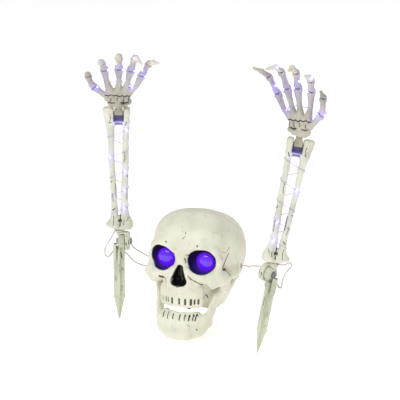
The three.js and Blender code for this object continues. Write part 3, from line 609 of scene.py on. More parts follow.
# black painted sockets and nose, painted light from the lenses round the sockets
def skullNotes(points):
    v = skullSizes
    p = points.copy()
    p[:, 0] = np.abs(p[:, 0])
    inSocket = np.linalg.norm((p - v["socketAt"]) / (np.array(v["socket"]) + 0.2), axis=1)
    tunnel = toLine(p, [(30.5, -62, 4), (30, -38, 1.2)])
    socket = smoothstep(1.06, 1.03, inSocket) + smoothstep(16.9, 16.5, tunnel) * (p[:, 1] > -58)
    noseWide = np.interp(p[:, 2], (-31, -29, -26, -20, -12, -6, -2, 0), (0.5, 9, 11.6, 11, 8, 5.4, 4, 0.5))
    nose = smoothstep(1.1, 0.98, p[:, 0] / noseWide) * (p[:, 1] < -50)
    fromLens = np.linalg.norm(p - v["lensAt"], axis=1)
    # painted light: violet from the lens, fading away from its rim, only inside the black sockets
    painted_light = np.exp(-np.maximum(fromLens - v["lensRadius"], 0) / 2.6) * np.clip(socket, 0, 1) * 0.2
    return {"black": np.clip(socket + nose, 0, 1), "painted_light": painted_light}


v = skullSizes
clay = makeSkull(v)
lines = paintedLines(v)
front = shell(
    clay, "skullFront", lambda c: c.block((-90, v["seam"] - 0.35, -99), (90, 99, 99), 0.2, 0.5, True),
    skullNotes, lines,
)
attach(front, "skull_and_stakes")
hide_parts("skull_front_shell")
rear = shell(
    clay, "skullBack", lambda c: c.block((-90, -99, -99), (90, v["seam"] + 0.35, 99), 0.2, 0.5, True),
    skullNotes, lines,
)
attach(rear, "skull_and_stakes")
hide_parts("skull_rear_shell")
print("skull:", len(front.data.polygons), len(rear.data.polygons))

# jaw, mm: the run is place, height, half height and half thickness; the upright is place and half width
jawSizes = {
    "step": 1.05,
    "run": [
        ((0, -70.5), -90.5, 12, 5.2), ((12, -69), -90, 11.5, 5.2), ((23, -64.5), -88.5, 9.5, 5),
        ((32, -58), -86, 8, 4.6), ((37, -50.5), -81, 6, 4.2),
    ],
    "upright": [
        ((37.5, -48, -79), 9), ((40, -44, -67), 8.6), ((43.5, -35, -53), 7.8), ((48.5, -17, -37), 7),
        ((50, -2, -26), 6), ((50, 2, -22), 5.8),
    ],
}


def makeJaw(v):
    c = Clay([0, -92, -114], [62, 18, -8], v["step"])
    for (a, za, ha, ra), (b, zb, hb, rb) in zip(v["run"][:-1], v["run"][1:]):
        c.wall(a, b, (ra, rb), (za, zb), (ha, hb), 4)
    for (a, ra), (b, rb) in zip(v["upright"][:-1], v["upright"][1:]):
        c.stick(a, b, ra, rb, 3.5, flat=(0.42, 1, 1))
    # front horn of the upright, chin and lower rim
    c.stick((48.5, -30, -44), (50, -31, -30), 6, 3.6, 4, flat=(0.5, 1, 1))
    c.egg((0, -72.5, -100.5), (21, 6.5, 7.5), 8)
    c.stick((13, -69.5, -101.5), (28, -62.5, -97.5), 4.6, 4.8, 6)
    c.stick((28, -62.5, -97.5), (37.5, -50, -86), 4.8, 4.8, 5)
    # tooth band
    angles = np.linspace(0, 1.45, 10)
    for a, b in zip(angles[:-1], angles[1:]):
        p, q = archPoint(skullSizes["lowerArch"], a, -3.6), archPoint(skullSizes["lowerArch"], b, -3.6)
        c.wall(p, q, (3.6, 3.6), (-78.3, -78.3), (4.4, 4.4), 3.5)
    whole = mirroredClay(c)
    for angle in skullSizes["lowerSlots"]:
        x, y = archPoint(skullSizes["lowerArch"], angle, 0.8)
        whole.stick((x, y, -69), (x, y, -78), 0.9, 0.9, 1.6, True)
        whole.stick((x * 0.8, y + 4, -67.5), (x * 1.1, y - 2, -67.5), 1.3, 1.3, 1.5, True)
    whole.stick((-62, 2, -22), (62, 2, -22), 2.3, 2.3, 0.4, True)
    return whole


v = jawSizes
clay = makeJaw(v)
lines = []
for k, angle in enumerate(skullSizes["lowerSlots"]):
    x = archPoint(skullSizes["lowerArch"], angle)[0]
    lines.append(((0, 2), 0.9, [(x, -71.4), (x + 0.4, -77.4 - k % 2)]))
    lines.append(((0, 2), 0.4, [(x - 1.2, -79.5), (x + 1.4, -78.5)]))
lines.append(((0, 2), 0.7, [(27, -91), (28, -92)]))
lines.append(((0, 2), 0.35, [(14, -84), (18, -86.5), (19, -89)]))
jaw = shell(
    clay, "jawMoulding", None, lambda p: {"black": np.zeros(len(p)), "painted_light": np.zeros(len(p))}, lines,
)
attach(jaw, "jaw")
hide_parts("jaw")
print("jaw:", len(jaw.data.polygons))

# eyes, mm
lensSizes = {
    "at": (30, -43.6, 1.2), "radius": 13.9, "bulge": 6.5, "back": 1.6, "rings": 14, "around": 48, "lit": 0.85,
}


def lensFinish():
    n = Nodes("violet lens")
    n.put("Base Color", n.mottle(130, 3, 0.3, 0.7, rgb(84, 20, 196), rgb(66, 8, 180)))
    n.put("Emission Color", n.mottle(60, 4, 0.3, 0.75, rgb(98, 34, 222), rgb(72, 10, 204)))
    n.put("Emission Strength", lensSizes["lit"])
    n.put("Roughness", 0.08)
    n.put("Coat Weight", 0.6)
    n.bump(n.noise(900, 2), 0.08, 0.0004)
    return n.material


lensMaterial = lensFinish()
v = lensSizes
circle = np.arange(v["around"]) / v["around"] * 2 * math.pi
for side, sign in (("left", -1), ("right", 1)):
    points = [(0, -v["bulge"], 0)]
    for k in range(1, v["rings"] + 1):
        t = k / v["rings"]
        r = v["radius"] * math.sin(t * math.pi / 2)
        y = -v["bulge"] * math.cos(t * math.pi / 2) if k < v["rings"] else 0
        points += [(r * math.cos(a), y, r * math.sin(a)) for a in circle]
    points += [(v["radius"] * math.cos(a), v["back"], v["radius"] * math.sin(a)) for a in circle]
    points.append((0, v["back"], 0))
    w = v["around"]
    quads = [
        (1 + k * w + i, 1 + (k + 1) * w + i, 1 + (k + 1) * w + (i + 1) % w, 1 + k * w + (i + 1) % w)
        for k in range(v["rings"]) for i in range(w)
    ]
    last = 1 + v["rings"] * w
    quads += [(0, 1 + i, 1 + (i + 1) % w, 1 + (i + 2) % w) for i in range(0, w, 2)]
    quads += [(last + w, last + (i + 2) % w, last + (i + 1) % w, last + i) for i in range(0, w, 2)]
    points = np.array(points) + np.array(v["at"]) * (sign, 1, 1)
    lens = newObject("eyeLens_" + side, points, np.array(quads), skullFrame)
    lens.data.materials.append(lensMaterial)
    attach(lens, "skull_and_stakes")
    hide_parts("eye_lens_" + side)
print("eyes done")


# strings and leads: wires and drops set along a line by geometry nodes
def groupNodes(name, sizes):
    tree = bpy.data.node_groups.new(name, "GeometryNodeTree")
    tree.interface.new_socket("Geometry", in_out="INPUT", socket_type="NodeSocketGeometry")
    for key, value in sizes.items():
        kind = "NodeSocketInt" if isinstance(value, int) else "NodeSocketFloat"
        tree.interface.new_socket(key, in_out="INPUT", socket_type=kind).default_value = value
    tree.interface.new_socket("Geometry", in_out="OUTPUT", socket_type="NodeSocketGeometry")
    return tree, tree.nodes.new("NodeGroupInput"), tree.nodes.new("NodeGroupOutput")


# a round wire swept along the line
def wireAlong(tree, start, radius, material):
    line = tree.nodes.new("GeometryNodeMeshToCurve")
    circle = tree.nodes.new("GeometryNodeCurvePrimitiveCircle")
    sweep = tree.nodes.new("GeometryNodeCurveToMesh")
    paint = tree.nodes.new("GeometryNodeSetMaterial")
    paint.inputs["Material"].default_value = material
    tree.links.new(start.outputs["Geometry"], line.inputs[0])
    tree.links.new(start.outputs[radius], circle.inputs["Radius"])
    tree.links.new(start.outputs["sides"], circle.inputs["Resolution"])
    tree.links.new(line.outputs[0], sweep.inputs["Curve"])
    tree.links.new(circle.outputs[0], sweep.inputs["Profile Curve"])
    sweep.inputs["Fill Caps"].default_value = True
    tree.links.new(sweep.outputs[0], paint.inputs["Geometry"])
    return paint.outputs[0]


# the wire of a light string, with a drop at each point marked as a bead
def stringGroup(sizes, wire, drop):
    tree, start, end = groupNodes("light string", sizes)
    strand = wireAlong(tree, start, "wire", wire)
    marks = tree.nodes.new("GeometryNodeInputNamedAttribute")
    marks.inputs["Name"].default_value = "bead"
    turn = tree.nodes.new("FunctionNodeRandomValue")
    turn.data_type = "FLOAT_VECTOR"
    turn.inputs["Max"].default_value = (0.7, 0.7, 6.28)
    turn.inputs["Seed"].default_value = 7
    ball = tree.nodes.new("GeometryNodeMeshUVSphere")
    ball.inputs["Segments"].default_value = 16
    ball.inputs["Rings"].default_value = 10
    stretch = tree.nodes.new("GeometryNodeTransform")
    stretch.inputs["Scale"].default_value = (0.85, 0.85, 1.35)
    place = tree.nodes.new("GeometryNodeInstanceOnPoints")
    real = tree.nodes.new("GeometryNodeRealizeInstances")
    smooth = tree.nodes.new("GeometryNodeSetShadeSmooth")
    paint = tree.nodes.new("GeometryNodeSetMaterial")
    paint.inputs["Material"].default_value = drop
    both = tree.nodes.new("GeometryNodeJoinGeometry")
    for a, b in (
        (start.outputs["bead"], ball.inputs["Radius"]), (ball.outputs["Mesh"], stretch.inputs["Geometry"]),
        (start.outputs["Geometry"], place.inputs["Points"]), (marks.outputs[0], place.inputs["Selection"]),
        (stretch.outputs[0], place.inputs["Instance"]), (turn.outputs[0], place.inputs["Rotation"]),
        (place.outputs[0], real.inputs[0]), (real.outputs[0], smooth.inputs[0]),
        (smooth.outputs[0], paint.inputs["Geometry"]), (paint.outputs[0], both.inputs[0]),
        (strand, both.inputs[0]), (both.outputs[0], end.inputs["Geometry"]),
    ):
        tree.links.new(a, b)
    return tree


def leadGroup(sizes, material):
    tree, start, end = groupNodes("lead", sizes)
    strand = wireAlong(tree, start, "radius", material)
    tree.links.new(strand, end.inputs["Geometry"])
    return tree


# a line of points as an object, run through the nodes and kept as a plain mesh
def alongLine(name, points, tree, sizes, beads=()):
    mesh = bpy.data.meshes.new(name)
    mesh.from_pydata([tuple(p) for p in points], [(i, i + 1) for i in range(len(points) - 1)], [])
    marks = mesh.attributes.new("bead", "FLOAT", "POINT")
    for i in beads:
        marks.data[i].value = 1
    thing = bpy.data.objects.new(name, mesh)
    bpy.context.scene.collection.objects.link(thing)
    modifier = thing.modifiers.new(name, "NODES")
    modifier.node_group = tree
    for item in tree.interface.items_tree:
        if item.in_out == "INPUT" and item.name in sizes:
            modifier[item.identifier] = sizes[item.name]
    ready = bpy.context.evaluated_depsgraph_get()
    baked = bpy.data.meshes.new_from_object(thing.evaluated_get(ready))
    thing.modifiers.clear()
    thing.data = baked
    baked.shade_smooth()
    return thing


# smooth line through points, even steps, lengths in the points' own unit
def smoothPath(points, step):
    p = np.array(points, float)
    p = np.concatenate([[2 * p[0] - p[1]], p, [2 * p[-1] - p[-2]]])
    out = []
    for a, b, c, d in zip(p[:-3], p[1:-2], p[2:-1], p[3:]):
        ta = np.sqrt(np.linalg.norm(b - a))
        tb = ta + np.sqrt(np.linalg.norm(c - b))
        tc = tb + np.sqrt(np.linalg.norm(d - c))
        t = np.linspace(ta, tb, 24, endpoint=False)[:, None]
        e = (ta - t) / ta * a + t / ta * b
        f = (tb - t) / (tb - ta) * b + (t - ta) / (tb - ta) * c
        g = (tc - t) / (tc - tb) * c + (t - tb) / (tc - tb) * d
        h = (tb - t) / tb * e + t / tb * f
        i = (tc - t) / (tc - ta) * f + (t - ta) / (tc - ta) * g
        out.append((tb - t) / (tb - ta) * h + (t - ta) / (tb - ta) * i)
    out = np.concatenate(out + [p[-2:-1]])
    run = np.concatenate([[0], np.cumsum(np.linalg.norm(np.diff(out, axis=0), axis=1))])
    even = np.linspace(0, run[-1], max(2, int(round(run[-1] / step))) + 1)
    return np.stack([np.interp(even, run, out[:, k]) for k in range(3)], 1)


def wireFinish():
    n = Nodes("string wire")
    n.put("Base Color", n.mottle(200, 3, 0.3, 0.7, rgb(196, 190, 205), rgb(150, 140, 170)))
    n.put("Roughness", 0.35)
    # painted violet light in patches along the wire
    n.put("Emission Color", n.mottle(35, 2, 0.45, 0.65, rgb(60, 50, 90), rgb(150, 125, 255)))
    n.put("Emission Strength", 0.55)
    n.bump(n.noise(700, 2), 0.2, 0.0003)
    return n.material


def dropFinish():
    n = Nodes("light drop")
    n.put("Base Color", n.mottle(260, 2, 0.35, 0.65, rgb(225, 215, 255), rgb(170, 145, 255)))
    n.put("Emission Color", n.mottle(500, 2, 0.4, 0.6, rgb(205, 190, 255), rgb(140, 110, 255)))
    n.put("Emission Strength", 2.6)
    n.put("Roughness", 0.1)
    n.put("Coat Weight", 0.5)
    n.bump(n.noise(900, 2), 0.1, 0.0002)
    return n.material


def leadFinish():
    n = Nodes("lead sleeve")
    n.put("Base Color", n.mottle(120, 3, 0.35, 0.7, rgb(226, 220, 214), rgb(202, 193, 188)))
    n.put("Roughness", n.range(n.noise(300, 3), 0.3, 0.7, 0.3, 0.42))
    n.bump(n.noise(800, 3), 0.15, 0.0003)
    return n.material


# radii in metres
stringSizes = {"wire": 0.00042, "bead": 0.0017, "sides": 8}
leadSizes = {"radius": 0.001, "sides": 12}
stringNodes = stringGroup(stringSizes, wireFinish(), dropFinish())
leadNodes = leadGroup(leadSizes, leadFinish())

handBone = boneFinish("hand plastic")
forearmBone = boneFinish("forearm plastic")


# a piece's frame from a joint's place and the directions of its x and z
def frameOf(origin, across, along):
    across, along = Vector(across).normalized(), Vector(along).normalized()
    rows = Matrix((across, along.cross(across), along)).transposed()
    return Matrix.Translation(Vector(origin)) @ rows.to_4x4()


# what differs between the arms: degrees the hand is turned and leans, its sideways drift, height of its crack
armSizes = {
    "left": {"swivel": -5, "flip": 1, "lean": 0, "drift": 0.03, "crackRise": 19},
    "right": {"swivel": -29, "flip": -1, "lean": 11, "drift": 0.05, "crackRise": 21},
}
hubs = {}
for side in ("left", "right"):
    fold, twist = joints[side + "_elbow_fold"], joints[side + "_forearm_twist"]
    hubs[side] = frameOf(fold["pos_m"], fold["axis"], twist["axis"])

# forearm, mm: each bone is rows of height, place across, half width and half depth; the rest is its string
foreSizes = {
    "step": 0.85,
    "base": 18.6,
    "bones": [
        [(0, -8, 8, 8), (5, -8.5, 8.6, 8), (14, -7.4, 6, 6.5), (28, -6.6, 4.6, 4.8), (60, -8.2, 4, 4.4),
         (100, -10.6, 4.1, 4.4), (135, -11.2, 4.6, 4.6), (158, -12.6, 6.6, 5.6), (170, -14.2, 7.6, 6.8),
         (179, -15, 7, 5.2)],
        [(0, 8, 8.6, 9), (6, 9, 9.4, 9.3), (16, 8, 7.2, 7.4), (30, 7, 5.2, 5.4), (60, 7.6, 4.7, 4.5),
         (100, 9, 4.5, 4.4), (135, 9.4, 4.4, 4.4), (158, 10.4, 4.7, 4.8), (170, 10.8, 4.2, 5.8),
         (179, 11, 3.6, 4.4)],
    ],
    "wireGap": 0.75,
    "turns": 4.5,
    "low": 22,
    "high": 150,
}


def makeForearm(v):
    def at(x, y, z):
        return x, y, v["base"] + z

    c = Clay([-26, -13, v["base"] - 2], [24, 13, v["base"] + 186], v["step"])
    for bone in v["bones"]:
        for (za, xa, rxa, rya), (zb, xb, rxb, ryb) in zip(bone[:-1], bone[1:]):
            deep = (rya + ryb) / (rxa + rxb)
            za, zb = max(za, 3.5), min(zb, 177)
            c.stick(at(xa, 0, za), at(xb, 0, zb), rxa, rxb, 2.5, flat=(1, deep, 1))
    c.stick(at(0, 0, 4), at(0, 0, 12), 9, 6, 4, flat=(1, 0.85, 1))
    c.block(at(-9, -3.4, 153.5), at(8, 3.6, 160), 1.5, 4)
    c.block(at(-9, 4.6, 156), at(8, 8, 170), 1.2, 3)
    c.egg(at(-14.6, 0, 175), (8, 7, 7.5), 3)
    c.egg(at(11.5, 0, 176), (4.8, 6.4, 7), 3)
    # flared hem round the elbow end
    c.stick(at(-14, -1, 7), at(12, -1, 3), 5.4, 5.4, 3, flat=(1, 1.75, 0.62))
    # lumps and a rim at the elbow end, ridge down the outer bone, knobs at the wrist
    c.egg(at(-13, -3, 7), (4.5, 5, 6), 3)
    c.egg(at(14, -2, 9), (4.5, 6, 7), 3)
    c.egg(at(3, -7, 15), (4, 3, 7), 3, True)
    c.egg(at(1, -9.4, 5), (3, 3, 4), 2, True)
    c.stick(at(11.5, -2.6, 22), at(12, -2, 120), 1.1, 0.8, 2)
    c.stick(at(-11.5, -3, 96), at(-14.8, -3, 150), 0.9, 1.2, 2)
    c.egg(at(-17, -2, 169), (3, 4.5, 5), 2.5)
    c.egg(at(13.6, -1.5, 170), (2.4, 4, 4.5), 2.5)
    for x, z, tall in ((-10.5, 40, 26), (9, 52, 30), (-12.4, 118, 22), (10.4, 128, 16)):
        c.stick(at(x, -5.6, z), at(x + 0.8, -5.4, z + tall), 0.9, 0.5, 1.5, True)
    # peg socket, bolt hole, room for the hand's tongue, flat lower lip
    c.stick(at(0, 0, -6), at(0, 0, 12.2), 4.9, 4.9, 0.5, True)
    c.stick(at(-40, 0, 172), at(40, 0, 172), 1.95, 1.95, 0.4, True)
    c.stick(at(-40, 0, 172), at(-17.5, 0, 172), 3.3, 3.3, 0.4, True)
    c.block(at(-7, -16, 159.4), at(6.3, 5.2, 200), 0.6, 1, True)
    c.block(at(-7, 3, 169), at(6.3, 16, 200), 0.6, 1, True)
    c.egg(at(-17, 0, -3.5), (13, 18, 8), 1.5, True)
    c.block(at(-40, -20, 179.4), at(40, 20, 210), 0.5, 2.5, True)
    c.block(at(-40, -20, -10), at(40, 20, 0.2), 0.3, 0.8, True)
    return c


# a taut wire round both bones: support points of the two ovals, heights shared out along its run
def forearmWire(v):
    spots = []
    count = int(v["turns"] * 40)
    tables = [np.array(bone) for bone in v["bones"]]
    for k in range(count + 1):
        a = math.pi + k / 40 * 2 * math.pi
        z = v["low"] + (v["high"] - v["low"]) * k / count
        best = None
        for table in tables:
            x, rx, ry = (np.interp(z, table[:, 0], table[:, i]) for i in (1, 2, 3))
            rx, ry = rx + v["wireGap"], ry + v["wireGap"]
            size = math.hypot(rx * math.cos(a), ry * math.sin(a))
            reach = x * math.cos(a) + size
            if best is None or reach > best[0]:
                best = (reach, x + rx * rx * math.cos(a) / size, ry * ry * math.sin(a) / size)
        spots.append(best[1:])
    spots = np.array(spots)
    run = np.concatenate([[0], np.cumsum(np.linalg.norm(np.diff(spots, axis=0), axis=1))])
    z = v["base"] + v["low"] + (v["high"] - v["low"]) * run / run[-1]
    return np.column_stack([spots, z])


# the path's point that is nearest to each target, with depth counting less
def nearest(path, targets):
    return sorted({
        int(np.argmin(np.linalg.norm((path - np.array(t)) * (1, 0.35, 1), axis=1))) for t in targets
    })


# painted light on points from the drops near them
def paintedLightFrom(points, beads, reach, strength=1.0):
    painted_light = np.zeros(len(points))
    for bead in beads:
        away = np.linalg.norm(points - bead, axis=1)
        painted_light += np.exp(-np.maximum(away - 1.2, 0) / reach) * strength
    return np.clip(painted_light, 0, 1.2)


# where the drops of each forearm's string should sit, mm
forearmBeads = {
    "left": [
        (6.6, -6, 103), (-3.4, -6, 55), (-9.6, -6, 148), (3, 6, 75), (-12, 5, 125), (10, -5, 160), (9, 7, 38),
    ],
    "right": [
        (-8, -6, 116), (2.4, -6, 48), (10, -6, 150), (3, 6, 78), (-12, 5, 135), (9, 7, 62), (-10, 6, 90),
    ],
}


# a moulding of the arms: skin of the clay, crease wash and painted crease shade, cracks and other notes, and the
# node it stands in for
def clayPiece(name, clay, place, material, lines, more, node, body):
    points, faces = clay.skin()
    deep = clay.sample(points, clay.blurred(2.6)) - clay.sample(points)
    wide = clay.sample(points, clay.blurred(5)) - clay.sample(points)
    # how deep each point lies in a hollow: brown wash and painted shade there
    notes = {"crease_wash_and_shade": np.clip(-deep * 0.9 - 0.12, 0, 1) + np.clip(-wide * 0.25 - 0.15, 0, 0.5)}
    notes["crack"] = np.full(len(points), 9.0)
    for width, line in lines:
        line = np.array(line, float)
        away = toLine(points[:, (0, 2)], line[:, (0, 2)]) - width + 0.5
        beyond = np.abs(points[:, 1] - line[:, 1].mean()) > 6
        notes["crack"] = np.minimum(notes["crack"], away + np.where(beyond, 9, 0))
    notes["black"] = np.zeros(len(points))
    notes["painted_light"] = np.zeros(len(points))
    notes.update(more(points))
    thing = newObject(name, points, faces, place, notes)
    thing.data.materials.append(material)
    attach(thing, body)
    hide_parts(node)
    return thing


# painted cracks: half width and line, mm
foreCracks = [
    (0.5, [(-8, -5, 60), (-9.5, -5, 66), (-9, -5, 72)]), (0.8, [(-9.4, -5, 47), (-6, -5, 50)]),
    (0.5, [(7, -5, 118), (8.5, -5, 124), (8, -5, 131), (9.4, -5, 134)]),
    (0.6, [(-14, -5, 176), (-11, -5, 177)]),
    (0.5, [(-13, -5.5, 178), (-11.5, -5.5, 184), (-12.6, -5.6, 189)]),
    (0.7, [(9, -5.5, 172), (11, -5.5, 177)]),
    (0.9, [(0.6, -7, 24), (1.6, -7, 32), (1, -7, 40)]), (0.5, [(-9, -8, 26), (-8, -8, 34), (-8.6, -8, 39)]),
    (0.5, [(10, -8, 32), (13, -7, 37)]), (0.4, [(6.4, -7, 26), (6.8, -7, 33)]),
    (0.7, [(12, -4, 96), (11, -4, 99)]), (0.6, [(-12, -4, 88), (-10.4, -4, 90)]),
    (0.5, [(-4.6, -5, 66), (-5, -5, 86)]), (0.5, [(10.6, -4, 62), (11, -4, 80)]),
]


# painted shade in the recess at the wrist, painted light from the drops and in the recess
def foreNotes(points, beads):
    v = foreSizes
    x, y, z = points.T
    z = z - v["base"]
    off = np.abs(x + 0.3)
    notch = (off < 7.6) & (z > 158.6) | (off < 5.6) & (z > 146) & (z < 158) & (y < -0.5)
    near = np.linalg.norm((points - (-0.3, -3, v["base"] + 157)) / (8.5, 9, 15), axis=1)
    # black here is painted shade, darker lower in the recess; near the recess the painted light is stronger
    return {
        "black": notch * 0.75 * smoothstep(176, 168, z),
        "painted_light": paintedLightFrom(points, beads, 3.6, 0.8) + 0.3 * smoothstep(1.3, 0.6, near),
    }


for side in ("left", "right"):
    v, arm = foreSizes, armSizes[side]
    twist = joints[side + "_forearm_twist"]
    wrist = joints[side + "_wrist_bend"]
    place = frameOf(twist["pos_m"], wrist["axis"], twist["axis"]) @ Matrix.Diagonal((arm["flip"], 1, 1, 1))
    clay = makeForearm(v)
    path = forearmWire(v)
    beads = nearest(path, forearmBeads[side])
    clayPiece(side + "Forearm", clay, place, forearmBone, foreCracks,
              lambda p: foreNotes(p, path[beads]), side + "_forearm", side + "_forearm")
    string = alongLine(side + "ForearmString", toPlace(path, place), stringNodes, stringSizes, beads)
    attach(string, side + "_forearm")
    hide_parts(side + "_forearm_lights")
print("forearms done")

# stake and elbow link, mm
stakeSizes = {"step": 0.85, "tip": -116, "disc": 10.4, "linkDisc": 13}


def makeStake(v):
    c = Clay([-11, -12, v["tip"] - 1], [9, 12, 12.5], v["step"])
    # two crossed blades and their points
    blades = [
        ((1, 0.17, 1), (-9, -1.4, -84), (7, 1.4, -8)),
        ((0.17, 1, 1), (-2.4, -8, -84), (0.4, 8, -8)),
    ]
    for flat, low, high in blades:
        c.block(low, high, 0.8, 1.5)
        c.stick((-1, 0, -83), (-1, 0, v["tip"] + 1.2), 8, 1.4, 1.5, flat=flat)
    c.block((-9, -4.2, -28), (-4.6, 4.2, 2.6), 1.2, 1.5)
    c.block((-1.4, -5, -19), (7, 5, 0), 1.5, 2.5)
    c.disc((2.75, 0, 0), v["disc"], 4.25, 1.6, 0.8)
    c.egg((-1.2, 0, 0), (2.2, 7.2, 7.2), 1.5)
    c.block((-7.6, -2.6, -5), (-5.8, 2.6, 6), 0.4, 0.6, True)
    c.stick((3, -5.4, -14), (3, -5.4, -9), 1.1, 1.1, 0.8, True)
    c.stick((-20, 0, 0), (20, 0, 0), 2.9, 2.9, 0.3, True)
    c.disc((-5.2, 0, 0), 5.2, 3.6, 0.4, 0.4, True)
    return c


def makeLink(v):
    c = Clay([-8, -15, -15], [17, 15, 31], v["step"] * 0.9)
    c.disc((11.25, 0, 0), v["linkDisc"], 3.75, 1.4, 0.8)
    c.block((-4.8, -4.7, 11.3), (12.5, 4.7, 13.9), 0.8, 1.2)
    c.block((7.7, -5, 5), (14.8, 5, 12.5), 1, 1.5)
    c.stick((0, 0, 12), (0, 0, 25.2), 4.4, 4.4, 1.5)
    c.disc((2.75, 0, 0), v["disc"] + 0.6, 4.6, 0.3, 0.3, True)
    c.stick((-20, 0, 0), (40, 0, 0), 2.9, 2.9, 0.3, True)
    for y, z in ((-6, 6), (6.5, -5), (-7, -6)):
        c.stick((17, y, z), (14, y, z), 1.0, 1.0, 0.4, True)
    return c


stakeBone = boneFinish("stake plastic")
stakeMarks = [
    (0.5, [(-1, -8, -32), (-0.6, -8, -44)]), (0.7, [(1.8, -1, -20), (3, -1, -25)]),
    (0.6, [(4, -1, -40), (4.6, -1, -43)]), (0.5, [(-6, -1, -52), (-5, -1, -60)]),
    (0.5, [(3, -1, -66), (2.4, -1, -74)]), (0.8, [(1, -5, -16), (3, -5, -18)]),
]
linkMarks = [
    (0.8, [(9, -13, 1), (9.6, -13, -3)]), (0.5, [(13, -12, 5), (13, -12, -2)]),
    (0.5, [(11, -11, -8), (12, -11, -6)]),
]


# painted shade: in the nut pocket, darker lower down, and under the disc
def stakeNotes(points):
    x, y, z = points.T
    hole = (x < -5.4) & (x > -8) & (np.abs(y) < 3) & (z > -6)
    shade = (np.abs(x + 3) < 2.3) * (z > -12) * (z < -6.5)
    return {"black": hole * smoothstep(3.2, 1.5, z) * 0.9 + shade * 0.5}


for side in ("left", "right"):
    v = stakeSizes
    place = hubs[side] @ Matrix.Diagonal((armSizes[side]["flip"], 1, 1, 1))
    clayPiece(side + "Stake", makeStake(v), place, stakeBone, stakeMarks, stakeNotes,
              side + "_stake", "skull_and_stakes")
    clayPiece(side + "Link", makeLink(v), place, forearmBone, linkMarks, lambda p: {},
              side + "_elbow_link", side + "_link")
print("stakes done")

# hand, mm: a finger is rows of place across, height, how far it bends forward, and half thickness
handSizes = {
    "step": 0.9,
    "rise": 10.5,
    "web": [(-12, 3.5), (-4, 2.5), (4, 2.5), (11, 3)],
    "fingers": [
        [(-8, 9, 0, 5.5), (-23, 21, 2, 3.6), (-35, 33, 4, 5), (-40, 45, 8, 3.2), (-42.5, 57, 12, 4.2),
         (-43, 67, 20, 2)],
        [(-12, 14, 0, 5), (-17, 41, 1, 3.2), (-20.5, 63, 4, 5), (-22, 70, 7, 3.2), (-23.5, 78, 10, 4.2),
         (-25.5, 85, 20, 3.6), (-24, 88, 30, 2)],
        [(-1, 14, 0, 5), (0, 43, 1, 3.2), (0, 66, 4, 5.3), (0, 76, 6, 3.3), (0, 87, 8, 4.3), (0, 96, 20, 3.6),
         (0, 93, 31, 2)],
        [(8, 14, 0, 5), (12, 40, 1, 3.2), (16.5, 64, 4, 5), (19.5, 76, 6, 3.2), (22, 87, 9, 4.2),
         (26, 95, 20, 3.4), (34, 93, 31, 1.8)],
        [(14, 12, 0, 5), (23.5, 34, 1, 3), (32, 56, 3, 4.7), (37, 67, 5, 3), (42, 79, 8, 3.9),
         (49, 87, 17, 3.3), (57, 92, 25, 1.7)],
    ],
}


# a place on the hand, leant over and drifted as its side says; it leans about a point 8 up from the root
def onHand(v, arm, x, rise, palm):
    lean = math.radians(arm["lean"])
    across = x * math.cos(lean) + (rise - 8) * math.sin(lean)
    rise = 8 + (rise - 8) * math.cos(lean) - x * math.sin(lean)
    return np.array([across + rise * arm["drift"], -palm, v["rise"] + rise])


def makeHand(v, arm):
    def up(x, r, palm):
        return onHand(v, arm, x, r, palm)

    c = Clay([-62, -38, 7], [82, 15, 118], v["step"])
    rise = arm["crackRise"]
    c.stick(up(-3, 6, 0), up(3, 6, 0), 7.5, 7.5, 3)
    c.stick(up(0, 2, 0), up(0, 8, 0), 8, 8, 2.5, flat=(1.1, 0.9, 1))
    # two rows of wrist bones
    for x, r, big in ((-10, 6, 5.4), (-1.5, 5.5, 6), (8, 6.5, 5.6), (14, 9, 4)):
        c.egg(up(x, r, 1.6), (big * 1.15, 6, big), 1.6)
    for x, r, big in ((-15, 6, 5.2), (-6.5, 6.5, 5.6), (2.5, 6, 5.8), (11, 6, 5.4)):
        c.egg(up(x, rise - r, 1.4), (big * 1.1, 5.6, big), 1.2)
    # web of the palm between the roots of the fingers
    for a, b in zip(v["web"][:-1], v["web"][1:]):
        c.stick(up(a[0], rise + a[1], 0.4), up(b[0], rise + b[1], 0.4), 4.6, 4.6, 3, flat=(1, 0.8, 1.15))
    for k, finger in enumerate(v["fingers"]):
        spots = [(up(x, r, palm), size) for x, r, palm, size in finger]
        if k:
            spots[0] = (up(finger[0][0], rise + 4.5, 0), 6.2)
        for (a, ra), (b, rb) in zip(spots[:-1], spots[1:]):
            c.stick(a, b, ra, rb, 2.2)
        # rounded heads either side of each joint
        for i in range(2, len(spots) - 1, 2):
            here, size = spots[i]
            along = here - spots[i - 1][0]
            along /= np.linalg.norm(along)
            c.egg(here - along * 2.6, (size * 1.14, size * 1.0, size * 0.85), 1.3)
            c.egg(here + along * 3.2, (size * 1.08, size * 0.95, size * 0.75), 1.3)
            side = np.cross(along, (0, 1, 0))
            side /= np.linalg.norm(side)
            for s in (-1, 1):
                c.egg(here - along * 2.2 + side * s * size * 0.95 + (0, -1.2, 0), (1.7, 1.7, 2.2), 1.2)
    # grooves: between the wrist bones, and across the front of each joint
    for width, line in handCracks(v, arm):
        for a, b in zip(line[:-1], line[1:]):
            c.stick(a, b, width + 0.3, width + 0.3, 1.2, True)
    c.stick((0, 0, 0), (0, 0, v["rise"] + 9.7), 3.4, 3.4, 0.4, True)
    c.block((-30, -30, -5), (30, 30, v["rise"] + 0.3), 0.3, 0.8, True)
    return c


